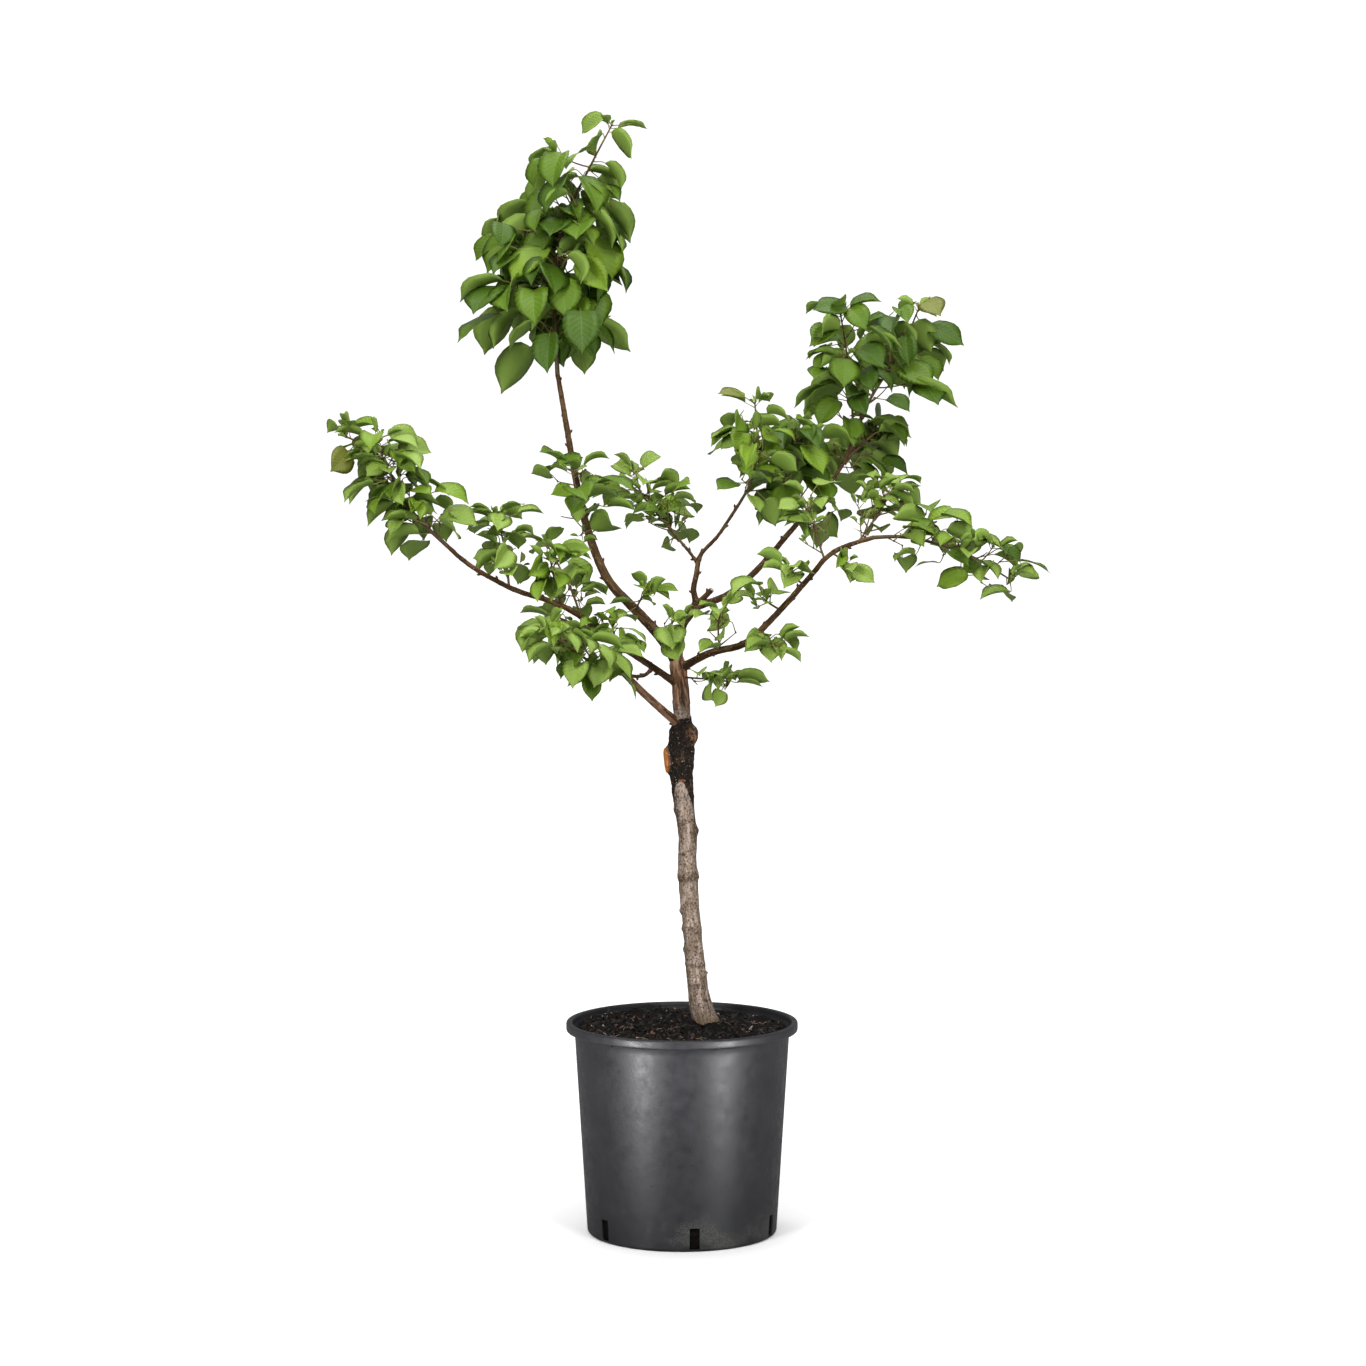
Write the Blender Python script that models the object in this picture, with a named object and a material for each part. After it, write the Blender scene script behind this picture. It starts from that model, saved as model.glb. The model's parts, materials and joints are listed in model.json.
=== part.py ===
"""A young apricot tree in a round nursery pot, from the flat underside of the pot to its highest leaf.

Metres, +Z up. The origin is the centre of the pot's underside, and -Y is the side that the photo shows.
"""

import math
import random

import bmesh
import bpy
import numpy as np
from mathutils import Vector
from mathutils.bvhtree import BVHTree

MM = 0.001
GAP = 0.35 * MM

# Pot
POT_HEIGHT = 303 * MM
RIM_RADIUS = 165 * MM
RIM_INNER = 156 * MM
LIP_DEPTH = 13 * MM
NECK_RADIUS = 153 * MM
FOOT_RADIUS = 135.5 * MM
FOOT_ROUND = 5 * MM
POT_WALL = 2.2 * MM
SLOT_COUNT = 6
SLOT_WIDTH = 14 * MM
SLOT_LOW, SLOT_HIGH = 4 * MM, 34 * MM
SLOT_TURN = math.radians(-82.5)
SOIL_LEVEL = 293 * MM
TURNED_SIDES = 40

# Trunk, which leans left as it rises: each run is a length in mm, a bearing from +X and a climb in degrees
TRUNK_FOOT = (0.035, 0.030, SOIL_LEVEL + GAP)
TRUNK_RUNS = ((37, -169, 74), (64, -156, 83), (116, -142, 84), (53, -97, 87), (90, -150, 84),
              (40, -113, 87), (28, -64, 85), (58, -118, 86), (48, -156, 83))
# Its radius in mm by share of its height: root flare, rings, the swollen graft and the crowded fork
TRUNK_GIRTH = ((0, 19), (0.03, 16.6), (0.07, 15.4), (0.19, 13.6), (0.24, 13.2), (0.39, 13.4), (0.41, 14.2),
               (0.43, 13.5), (0.52, 13.0), (0.59, 13.3), (0.63, 14.8), (0.68, 16), (0.74, 18.4), (0.80, 17.2),
               (0.825, 13), (0.87, 11.9), (0.92, 12.2), (0.975, 12.6), (1, 8.6))

# Boughs: host, share of the host's length, radius in mm at root and tip, and runs as on the trunk
BOUGHS = {
    "leader_bough": ("trunk", 0.99, (8.0, 3.4), (
        (45, 166, 52), (50, 156, 44), (55, 152, 42), (55, 142, 58), (65, 134, 66), (65, 124, 70),
        (55, 124, 72), (50, 134, 76), (30, 130, 74))),
    "left_bough": ("trunk", 0.92, (5.0, 3.0), (
        (50, -148, 32), (70, -150, 32), (75, -150, 34), (45, -154, 26), (60, -156, 18), (70, -156, 28),
        (45, -162, 40))),
    "front_left_bough": ("left_bough", 0.13, (2.8, 2.3), (
        (35, -108, -14), (45, -110, 2), (45, -116, 10))),
    "low_left_bough": ("trunk", 0.81, (6.4, 4.2), (
        (75, -146, 38), (45, -148, 42), (45, -150, 44))),
    "centre_bough": ("trunk", 0.99, (6.5, 5.4), (
        (50, 70, 66), (20, 26, 54), (20, 28, 58))),
    "right_high_bough": ("centre_bough", 0.94, (5.2, 2.8), (
        (35, 42, 10), (40, 46, 16), (65, 48, 28), (75, 44, 38), (80, 38, 42), (75, 30, 50),
        (75, 36, 64))),
    "upright_bough": ("centre_bough", 1.0, (4.2, 3.6), (
        (20, -144, 76), (20, 2, 80), (20, 32, 80))),
    "cut_stub": ("centre_bough", 0.98, (4.2, 3.6), ((15, -28, 36), (20, -32, 42))),
    "centre_right_bough": ("upright_bough", 1.0, (2.9, 2.2), (
        (15, 24, 64), (30, -8, 46), (30, -22, 54), (30, -18, 56))),
    "back_left_bough": ("upright_bough", 0.97, (2.6, 2.1), (
        (40, 112, 24), (35, 110, 20))),
    "right_low_bough": ("trunk", 0.965, (5.6, 3.0), (
        (50, -34, 26), (25, -32, 18), (45, -30, 16), (65, -26, 42), (75, -28, 46), (30, -26, 48),
        (30, -22, 32), (45, -14, 18))),
}


def mass(host, at, girth, runs, blade, twig, spurs, leaves, droop, rise, reach, seed, shoots=()):
    """A mass of foliage: lengths in mm, and blade and twig lengths at its stem's root and tip."""
    return dict(host=host, at=at, girth=girth, runs=runs, blade=blade, twig=twig, spurs=spurs, leaves=leaves,
                droop=droop, rise=rise, reach=reach, seed=seed, shoots=shoots)


# Masses of foliage, each from one stem on its bough
MASSES = {
    "leader_crown": mass(
        "leader_bough", 1.0, (3.4, 1.0), ((125, 110, 85), (100, 20, 80), (80, 0, 65), (68, -20, 60)),
        (77, 54), (73, 38), 54, 3, 60, 0.2, 175, 283,
        ((0.33, 125, 175, 48, 5), (0.82, 55, 200, 20, 3))),
    "leader_spray": mass(
        "leader_bough", 0.47, (1.6, 1.1), ((50, -105, 35), (40, -110, 60), (35, 180, 80)),
        (61, 54), (37, 25), 11, 2, 15, 0.0, 130, 47),
    "leader_spur": mass(
        "leader_bough", 0.2, (1.5, 1.1), ((35, -75, 30), (20, -50, 35)),
        (35, 32), (5, 4), 9, 2, 25, 0.2, 69, 529),
    "left_crown": mass(
        "left_bough", 1.0, (3.0, 1.2), ((70, -170, 45), (85, -170, 60), (50, -170, 30)),
        (49, 40), (30, 14), 26, 3, 35, 0.45, 104, 602,
        ((0.66, 20, 25, 55, 2), (0.8, 25, 20, 65, 2))),
    "left_inner_spray": mass(
        "left_bough", 0.54, (1.8, 1.1), ((40, -105, 45), (25, -110, 65), (20, -120, 65)),
        (50, 44), (28, 16), 12, 2, 40, 0.45, 90, 388),
    "left_mid_spray": mass(
        "left_bough", 0.74, (1.8, 1.1), ((50, 105, 65), (30, 115, 60), (25, 140, 70)),
        (46, 40), (24, 16), 14, 2, 35, 0.2, 109, 903),
    "left_back_spray": mass(
        "left_bough", 0.46, (1.8, 1.1), ((50, 110, 40), (50, 130, 50), (30, 145, 55)),
        (54, 47), (21, 12), 12, 2, 25, 0.0, 95, 926),
    "left_low_spray": mass(
        "left_bough", 0.22, (1.8, 1.1), ((40, -115, 20), (35, -120, 25), (25, -150, 45)),
        (43, 38), (21, 16), 15, 2, 35, 0.45, 92, 234),
    "front_left_crown": mass(
        "front_left_bough", 1.0, (2.3, 1.2), ((55, -125, 15), (40, -130, 25), (40, -125, 25), (30, -140, 25)),
        (53, 44), (37, 21), 18, 2, 45, 0.45, 80, 814),
    "low_left_crown": mass(
        "low_left_bough", 1.0, (4.0, 1.4), ((30, -155, 45), (30, -155, 40), (30, -150, 25)),
        (55, 48), (32, 19), 13, 2, 45, 0.45, 98, 306),
    "back_left_crown": mass(
        "back_left_bough", 1.0, (2.1, 1.2), ((50, 110, 20), (65, 120, 30), (30, 125, 35), (40, 105, 45)),
        (50, 44), (33, 18), 19, 2, 15, 0.45, 95, 415,
        ((0.12, 22, -180, -35, 1),)),
    "centre_right_crown": mass(
        "centre_right_bough", 1.0, (2.2, 1.0), ((30, -20, 60), (35, -30, 75), (35, -50, 85), (45, -145, 85)),
        (54, 44), (33, 15), 18, 2, 40, 0.0, 130, 440,
        ((0.82, 25, 215, 5, 2),)),
    "right_high_spray": mass(
        "right_high_bough", 0.55, (2.2, 1.2), ((50, -110, 45), (50, -105, 60), (55, -60, 65)),
        (66, 57), (56, 33), 14, 3, 45, 0.45, 109, 553),
    "right_high_crown": mass(
        "right_high_bough", 1.0, (2.8, 1.1), ((35, 20, 60), (80, 25, 55), (65, 20, 65)),
        (72, 49), (51, 16), 17, 3, 60, 0.2, 130, 571,
        ((0.45, 85, 135, 45, 3), (0.7, 40, 150, 70, 2))),
    "right_high_side": mass(
        "right_high_bough", 0.9, (2.0, 1.1), ((70, -95, 55), (60, -105, 65), (75, -130, 75)),
        (60, 50), (43, 24), 15, 3, 40, 0.45, 109, 155),
    "right_back_spray": mass(
        "right_high_bough", 0.76, (2.0, 1.1), ((45, 55, 35), (50, 50, 30), (35, 55, 25)),
        (58, 50), (31, 19), 17, 3, 40, 0.2, 100, 544),
    "right_low_crown": mass(
        "right_low_bough", 1.0, (3.0, 1.2), ((50, -5, 0), (75, -5, -15), (75, -5, -30)),
        (50, 46), (41, 22), 20, 2, 25, 0.45, 92, 685,
        ((0.3, 45, 35, 55, 2),)),
    "right_low_shoot": mass(
        "right_low_bough", 0.94, (1.6, 1.1), ((30, 40, 45), (30, 35, 50), (25, 30, 60)),
        (46, 40), (43, 31), 13, 2, 25, 0.45, 95, 477),
    "right_low_spray": mass(
        "right_low_bough", 0.79, (1.6, 1.1), ((25, 125, 60), (30, 120, 60), (25, 125, 55)),
        (54, 48), (42, 26), 8, 2, 35, 0.45, 103, 989),
    "right_bend_spur": mass(
        "right_low_bough", 0.83, (1.5, 1.1), ((20, -55, -20), (15, -35, -30)),
        (40, 38), (11, 11), 5, 2, 45, 0.45, 65, 128),
    "right_spur_high": mass(
        "right_low_bough", 0.21, (1.5, 1.1), ((25, -100, 45), (25, -90, 60), (20, -75, 60)),
        (40, 38), (27, 16), 6, 2, 15, 0.0, 91, 885),
    "right_spur_low": mass(
        "trunk", 0.945, (1.5, 1.1), ((50, -45, 0), (40, -45, 5)),
        (48, 46), (13, 11), 7, 2, 25, 0.0, 85, 906),
    "right_spur_mid": mass(
        "right_low_bough", 0.41, (1.6, 1.1), ((30, -75, -20), (25, -65, -20)),
        (46, 44), (11, 9), 7, 2, 40, 0.0, 75, 397),
    "right_spur_bend": mass(
        "right_low_bough", 0.52, (1.6, 1.1), ((25, -135, 25), (15, -130, 30)),
        (49, 45), (14, 12), 8, 2, 15, 0.0, 75, 413),
    "right_spur_tall": mass(
        "right_low_bough", 0.66, (1.6, 1.1), ((25, -125, 25), (15, -115, 50)),
        (44, 39), (11, 8), 6, 2, 35, 0.45, 65, 551),
    "collar_spray": mass(
        "leader_bough", 0.07, (1.6, 1.1), ((35, -80, 25), (35, -70, 35)),
        (52, 48), (22, 17), 10, 2, 30, 0.0, 92, 546),
}

# Share of a stem's length from which it is this year's shoot, with single leaves at every other node
NEW_SHOOTS = {"leader_crown": 0.66, "left_crown": 0.82, "back_left_crown": 0.8, "centre_right_crown": 0.7,
              "right_high_crown": 0.74, "right_high_side": 0.82, "right_low_crown": 0.86}

# Growth rule
GOLDEN_TURN = math.radians(137.5)
TURN_SPREAD = 0.35
STEM_SPAN = (0.06, 0.97)
BULK_POWER = 1.6
TWIG_SHARE = (0.45, 1.25)
TWIG_SPREAD = (45, 75)
SHORT_TWIG = 12 * MM
BARE_SHOOT = 0.3
BLADE_SHARE = (0.68, 1.12)
BLADE_WIDTH = (0.72, 0.86)
BLADE_FALL = 28
BLADE_ROLL = 28
STALK_LEAN = (45, 70)
STALK_SHARE = (0.36, 0.52)
STALK_CLIMB = 0.45
TIP_LEAVES = 3
TIP_LIFT = 35
MARGIN = 1.5 * MM
LIMB_MARGIN = 2.4 * MM


def add(a, b, k=1.0):
    return (a[0] + k * b[0], a[1] + k * b[1], a[2] + k * b[2])


def dot(a, b):
    return a[0] * b[0] + a[1] * b[1] + a[2] * b[2]


def cross(a, b):
    return (a[1] * b[2] - a[2] * b[1], a[2] * b[0] - a[0] * b[2], a[0] * b[1] - a[1] * b[0])


def unit(a):
    size = math.sqrt(dot(a, a)) or 1.0
    return (a[0] / size, a[1] / size, a[2] / size)


def between(pair, t):
    return pair[0] + (pair[1] - pair[0]) * t


def heading(bearing, climb):
    b, c = math.radians(bearing), math.radians(climb)
    return (math.cos(c) * math.cos(b), math.cos(c) * math.sin(b), math.sin(c))


def laid_out(start, runs):
    """The corners of a limb: each run goes on from the end of the one before."""
    points = [tuple(start)]
    for length, bearing, climb in runs:
        points.append(add(points[-1], heading(bearing, climb), length * MM))
    return points


def flowing(points, steps=4):
    """A smooth line through a limb's corners."""
    line = []
    for i in range(len(points) - 1):
        a, b, c = points[max(i - 1, 0)], points[i], points[i + 1]
        d = points[min(i + 2, len(points) - 1)]
        for s in range(steps):
            t = s / steps
            line.append(tuple(
                q + 0.5 * t * (r - p + t * (2 * p - 5 * q + 4 * r - e + t * (3 * q - p - 3 * r + e)))
                for p, q, r, e in zip(a, b, c, d)))
    line.append(tuple(points[-1]))
    return line


def place_on(line, share):
    """The point and the heading at a share of a line's length."""
    lengths = [0.0]
    for a, b in zip(line, line[1:]):
        lengths.append(lengths[-1] + math.dist(a, b))
    goal = max(0.0, min(1.0, share)) * lengths[-1]
    for i in range(len(line) - 1):
        if goal <= lengths[i + 1] or i == len(line) - 2:
            break
    step = add(line[i + 1], line[i], -1)
    return add(line[i], step, (goal - lengths[i]) / (lengths[i + 1] - lengths[i])), unit(step)


def sideways(way, turn):
    """The direction square to a way, turned round it from the back of the tree."""
    back = unit(add((0.0, 1.0, 0.0), way, -way[1]))
    return add(tuple(math.cos(turn) * x for x in back), cross(way, back), math.sin(turn))


def tree_lines():
    """The lines of the trunk and boughs, and those of the masses' stems."""
    limbs = {"trunk": flowing(laid_out(TRUNK_FOOT, TRUNK_RUNS))}
    for name, (host, at, _, runs) in BOUGHS.items():
        limbs[name] = flowing(laid_out(place_on(limbs[host], at)[0], runs))
    stems = {name: flowing(laid_out(place_on(limbs[m["host"]], m["at"])[0], m["runs"]))
             for name, m in MASSES.items()}
    return limbs, stems


def limb_radius(name, share):
    if name == "trunk":
        places, sizes = zip(*TRUNK_GIRTH)
        return float(np.interp(share, places, sizes)) * MM
    root, tip = BOUGHS[name][2]
    swell = 1 + 0.22 * max(0.0, 1 - share / 0.08)
    return (root + (tip - root) * share) * swell * MM


class Room:
    """Where each mass may grow: nearer to its own stem than to any other, and clear of every limb."""

    def __init__(self, limbs, stems):
        self.names = list(stems)
        starts, ends, first, thick = [], [], [], []
        for name, line in list(stems.items()) + list(limbs.items()):
            first.append(len(starts))
            starts.extend(line[:-1])
            ends.extend(line[1:])
            last = len(line) - 1
            thick.extend(0.0 if name in stems else limb_radius(name, i / last) for i in range(last))
        self.a = np.array(starts)
        self.ab = np.array(ends) - self.a
        self.square = np.maximum((self.ab ** 2).sum(1), 1e-12)
        self.first, self.thick = first, np.array(thick)
        self.limbs = first[len(stems)]

    def off(self, points, spans):
        """The distance of each point from each span of the lines."""
        p = np.asarray(points)[:, None]
        a, ab, square = self.a[spans], self.ab[spans], self.square[spans]
        k = np.clip(((p - a) * ab).sum(-1) / square, 0, 1)
        return np.sqrt(((p - (a + k[..., None] * ab)) ** 2).sum(-1))

    def holds(self, marks, cover, name, reach):
        own = self.names.index(name)
        stems = slice(0, self.limbs)
        near = np.minimum.reduceat(self.off(marks, stems), self.first[:len(self.names)], axis=1)
        mine = near[:, own].copy()
        near[:, own] = 1.0
        if (mine > reach).any() or (near.min(1) < mine + MARGIN).any():
            return False
        spans = slice(self.limbs, None)
        return not (self.off(cover, spans) < self.thick[spans] + LIMB_MARGIN).any()


def new_leaf(root, way, turn, length, droop, rng):
    """One leaf: its stalk leaves the twig at an angle, and its blade droops from the stalk's end."""
    lean = math.radians(rng.uniform(*STALK_LEAN))
    out = sideways(way, turn)
    stalk = unit(add(add(tuple(math.cos(lean) * x for x in way), out, math.sin(lean)), (0, 0, 1), 0.15))
    stalk = unit((stalk[0], stalk[1], min(stalk[2], STALK_CLIMB)))
    neck = add(root, stalk, length * rng.uniform(*STALK_SHARE))
    fall = math.radians(droop + rng.uniform(-BLADE_FALL, BLADE_FALL))
    level = unit((stalk[0], stalk[1], 1e-4))
    axis = add(tuple(math.cos(fall) * x for x in level), (0, 0, 1), -math.sin(fall))
    axis = unit(add(axis, stalk, 0.35))
    up = unit(add((0, 0, 1), axis, -axis[2]))
    roll = rng.gauss(0, math.radians(BLADE_ROLL))
    face = unit(add(tuple(math.cos(roll) * x for x in up), cross(axis, up), math.sin(roll)))
    return {"root": root, "neck": neck, "stalk": stalk, "axis": axis, "face": face,
            "length": length, "width": length * rng.uniform(*BLADE_WIDTH)}


def on_leaf(leaf, along, across, lift=0.0):
    """A point of a blade, by shares of its length and of its half width, and a height over its face."""
    side = cross(leaf["axis"], leaf["face"])
    point = add(add(leaf["neck"], leaf["axis"], along * leaf["length"]), side, 0.5 * across * leaf["width"])
    return add(point, leaf["face"], lift)


def leaf_marks(leaf):
    corners = ((0, 0), (0.3, 1), (0.3, -1), (0.45, 0), (0.7, 0.7), (0.7, -0.7), (1, 0))
    return [add(leaf["root"], leaf["stalk"], 0.5 * math.dist(leaf["root"], leaf["neck"]))] + [
        on_leaf(leaf, *corner) for corner in corners]


def leaf_cover(leaf):
    span = math.dist(leaf["root"], leaf["neck"])
    stalk = [add(leaf["root"], leaf["stalk"], span * k / 5) for k in range(5)]
    half = (0.05, 0.7, 1.0, 0.97, 0.8, 0.5, 0.05)
    return stalk + [on_leaf(leaf, i / 6, half[i] * k / 3) for i in range(7) for k in range(-3, 4)]


def grown(name, stem, room):
    """The twigs and leaves of one mass: spurs wind up its stem, and single leaves end it."""
    m = MASSES[name]
    rng = random.Random(m["seed"])
    reach = m["reach"] * MM
    twigs, leaves = [], []

    def keep(leaf, twig=None):
        if room.holds(leaf_marks(leaf), leaf_cover(leaf), name, reach):
            leaves.append({**leaf, "twig": twig, "spur": twig[0] if twig else None})

    def twig_with_leaves(root, way, length, count, size, share):
        tip = add(root, way, length)
        marks = [add(root, way, length * k / 4) for k in range(5)]
        bare = length < SHORT_TWIG or not room.holds(marks, marks, name, reach)
        if not bare:
            twigs.append((root, tip))
        spin = rng.uniform(0, 2 * math.pi)
        for k in range(count):
            spin += GOLDEN_TURN
            blade = size * rng.uniform(*BLADE_SHARE)
            base = root if bare else add(root, way, length * (share + (1 - share) * (k + 1) / count))
            leaf = new_leaf(base, way, spin, blade, m["droop"], rng)
            if not bare or k == 0:
                keep(leaf, None if bare else (root, tip))

    turn = rng.uniform(0, 2 * math.pi)
    for i in range(m["spurs"]):
        t = between(STEM_SPAN, (i + 0.5) / m["spurs"])
        root, way = place_on(stem, t)
        bulk = t ** BULK_POWER
        turn += GOLDEN_TURN + rng.uniform(-TURN_SPREAD, TURN_SPREAD)
        length = between(m["twig"], bulk) * rng.uniform(*TWIG_SHARE) * MM
        spread = math.radians(rng.uniform(*TWIG_SPREAD))
        out = sideways(way, turn)
        way = add(tuple(math.cos(spread) * x for x in way), out, math.sin(spread))
        way = unit(add(way, (0, 0, 1), m["rise"]))
        fresh = t > NEW_SHOOTS.get(name, 1.0)
        if not (fresh and i % 2):
            length, count = (0.0, 1) if fresh else (length, m["leaves"])
            twig_with_leaves(root, way, length, count, between(m["blade"], bulk) * MM, 0.0)
    for t, length, bearing, climb, count in m["shoots"]:
        twig_with_leaves(place_on(stem, t)[0], heading(bearing, climb), length * MM, count,
                         between(m["blade"], t) * MM, BARE_SHOOT)
    tip, way = place_on(stem, 1.0)
    for k in range(TIP_LEAVES):
        turn += GOLDEN_TURN
        blade = m["blade"][1] * rng.uniform(0.7, 1.0) * MM
        keep(new_leaf(tip, way, turn, blade, m["droop"] - TIP_LIFT, rng))
    return twigs, leaves


def whole_tree():
    limbs, stems = tree_lines()
    room = Room(limbs, stems)
    return limbs, stems, {name: grown(name, stem, room) for name, stem in stems.items()}


# Solids
SOLID_SHARE = 0.5
TRUNK_SIDES = 10
BOUGH_SIDES = 7
STEM_SIDES = 5
LEAST_TWIG = 22 * MM
TWIG_RADII = (1.3, 0.9)
STALK_RADII = (0.95, 0.8)
BLADE_THICKNESS = 1.2 * MM


def clear_scene():
    for obj in list(bpy.data.objects):
        bpy.data.objects.remove(obj)


def material(name, colour, roughness):
    """A plain Principled material, its colour given as sRGB values of 0 to 255."""
    mat = bpy.data.materials.new(name)
    mat.use_nodes = True
    shader = mat.node_tree.nodes["Principled BSDF"]
    linear = [((c / 255 + 0.055) / 1.055) ** 2.4 if c > 10 else c / 255 / 12.92 for c in colour]
    shader.inputs["Base Color"].default_value = (*linear, 1)
    shader.inputs["Roughness"].default_value = roughness
    shader.inputs["Metallic"].default_value = 0
    return mat


def object_of(bm, name, collection=None):
    bmesh.ops.recalc_face_normals(bm, faces=bm.faces)
    mesh = bpy.data.meshes.new(name)
    bm.to_mesh(mesh)
    bm.free()
    obj = bpy.data.objects.new(name, mesh)
    (collection or bpy.context.scene.collection).objects.link(obj)
    return obj


def finish(obj, mat, smooth=True):
    obj.data.materials.clear()
    obj.data.materials.append(mat)
    if smooth:
        obj.data.shade_smooth()
        obj.data.set_sharp_from_angle(angle=math.radians(40))


def turned(name, profile, sides):
    """A closed body of revolution from a profile that starts and ends on the Z axis."""
    bm = bmesh.new()
    verts = [bm.verts.new((r, 0, z)) for r, z in profile]
    edges = [bm.edges.new(pair) for pair in zip(verts, verts[1:])]
    bmesh.ops.spin(bm, geom=verts + edges, cent=(0, 0, 0), axis=(0, 0, 1), angle=2 * math.pi, steps=sides)
    bmesh.ops.remove_doubles(bm, verts=bm.verts, dist=1e-6)
    return object_of(bm, name)


def tube(bm, line, radii, sides, level=False):
    """A closed round limb along a line, its rings kept from twisting. A level one is cut flat at its foot."""
    points = [Vector(p) for p in line]
    ways = [(b - a).normalized() for a, b in zip(points, points[1:])]
    across = ways[0].orthogonal().normalized()
    rings = []
    for i, point in enumerate(points):
        way = (ways[max(i - 1, 0)] + ways[min(i, len(ways) - 1)]).normalized()
        across = (across - across.dot(way) * way).normalized()
        other = way.cross(across)
        spokes = [(math.cos(t), math.sin(t)) for t in (2 * math.pi * k / sides for k in range(sides))]
        rings.append([bm.verts.new(point + radii[i] * (c * across + s * other)) for c, s in spokes])
    if level:
        for vert in rings[0]:
            vert.co.z = points[0].z
    for low, high in zip(rings, rings[1:]):
        for k in range(sides):
            bm.faces.new((low[k - 1], low[k], high[k], high[k - 1]))
    bm.faces.new(rings[0])
    bm.faces.new(rings[-1])
    return bm


def thinned(line, rings):
    """Fewer points along a line, its ends kept."""
    return [place_on(line, i / (rings - 1))[0] for i in range(rings)]


def longer(line, by):
    """A line carried on at both ends."""
    return [add(line[0], place_on(line, 0)[1], -by)] + line[1:-1] + [add(line[-1], place_on(line, 1)[1], by)]


def limb_rings(name, line):
    length = sum(math.dist(a, b) for a, b in zip(line, line[1:]))
    return 18 if name == "trunk" else max(3, round(length / (30 * MM)))


def limb_tube(name, line, extra=0.0):
    rings = limb_rings(name, line)
    points = thinned(line, rings)
    if name == "trunk":
        points[0] = TRUNK_FOOT
    radii = [limb_radius(name, i / (rings - 1)) + extra for i in range(rings)]
    if name == "trunk":
        return tube(bmesh.new(), longer(points, extra) if extra else points, radii, TRUNK_SIDES, level=True)
    return tube(bmesh.new(), longer(points, extra) if extra else points, radii, BOUGH_SIDES)


def mesh_as_seen(obj):
    graph = bpy.context.evaluated_depsgraph_get()
    return bpy.data.meshes.new_from_object(obj.evaluated_get(graph))


def boolean(obj, other, operation, solver="EXACT"):
    """Applies one Boolean with an object or a collection, and removes what it used."""
    modifier = obj.modifiers.new(operation.lower(), "BOOLEAN")
    modifier.operation, modifier.solver = operation, solver
    used = [other]
    if isinstance(other, bpy.types.Collection):
        modifier.operand_type, modifier.collection = "COLLECTION", other
        used = list(other.objects)
    else:
        modifier.object = other
    mesh = mesh_as_seen(obj)
    obj.modifiers.clear()
    old, obj.data = obj.data, mesh
    bpy.data.meshes.remove(old)
    mesh.name = obj.name
    for piece in used:
        bpy.data.objects.remove(piece)
    if isinstance(other, bpy.types.Collection):
        bpy.data.collections.remove(other)


def largest_body(obj):
    """Drops loose scraps and fills sealed hollows: only the outer surface of the largest body stays."""
    bm = bmesh.new()
    bm.from_mesh(obj.data)
    left, bodies = set(bm.verts), []
    while left:
        todo = [left.pop()]
        body = set(todo)
        while todo:
            for edge in todo.pop().link_edges:
                for vert in edge.verts:
                    if vert not in body:
                        body.add(vert)
                        todo.append(vert)
        left -= body
        bodies.append(body)
    bodies.sort(key=lambda b: -sum((Vector(v.co) - Vector(next(iter(b)).co)).length for v in b))
    for body in bodies[1:]:
        bmesh.ops.delete(bm, geom=list(body), context="VERTS")
    bm.to_mesh(obj.data)
    bm.free()


def meets(line, radius, other, other_radius):
    """Whether two limbs come within the gap of each other."""
    a, b = np.array(other[:-1]), np.array(other[1:])
    for p in line:
        k = np.clip(((np.array(p) - a) * (b - a)).sum(1) / ((b - a) ** 2).sum(1), 0, 1)
        if np.sqrt(((p - (a + k[:, None] * (b - a))) ** 2).sum(1)).min() < radius + other_radius + 2 * GAP:
            return True
    return False


def trimmed(obj, line, radius, elders):
    """Cuts a limb back to a gap from each limb that it grows out of or passes."""
    for name, elder in elders.items():
        if meets(flowing(line, 2), radius, elder, max(limb_radius(name, k / 8) for k in range(9))):
            boolean(obj, object_of(limb_tube(name, elder, GAP), "cutter"), "DIFFERENCE")
            largest_body(obj)


def leaf_solid(bm, leaf):
    """A three-sided stalk that opens into a blade, a little folded along its midrib, as one closed body."""
    neck, axis = Vector(leaf["neck"]), Vector(leaf["axis"])
    side = axis.cross(Vector(leaf["face"]))
    root = Vector(leaf["root"])
    way = (neck - root).normalized()
    rings = []
    for centre, along, radius in ((root - 0.4 * MM * way, way, STALK_RADII[0] * MM),
                                  (neck, (way + axis).normalized(), STALK_RADII[1] * MM)):
        over = side.cross(along).normalized()
        across = along.cross(over)
        rings.append([bm.verts.new(centre + radius * v) for v in (
            0.5 * over - 0.9 * across, 0.5 * over + 0.9 * across, -over)])
    fold = 0.07 * leaf["length"]
    (a0, b0, c0), (a, b, c) = rings
    left, tip, right = (bm.verts.new(on_leaf(leaf, u, v, lift)) for u, v, lift in (
        (0.36, -1.08, fold), (1, 0, 0), (0.36, 1.08, fold)))
    mid = bm.verts.new(on_leaf(leaf, 0.4, 0, BLADE_THICKNESS))
    for corners in ((a0, a, b, b0), (b0, b, c, c0), (c0, c, a, a0), (a0, b0, c0),
                    (a, mid, b), (b, mid, right), (right, mid, tip), (tip, mid, left), (left, mid, a),
                    (c, b, right), (c, right, tip), (c, tip, left), (c, left, a)):
        bm.faces.new(corners)


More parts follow.
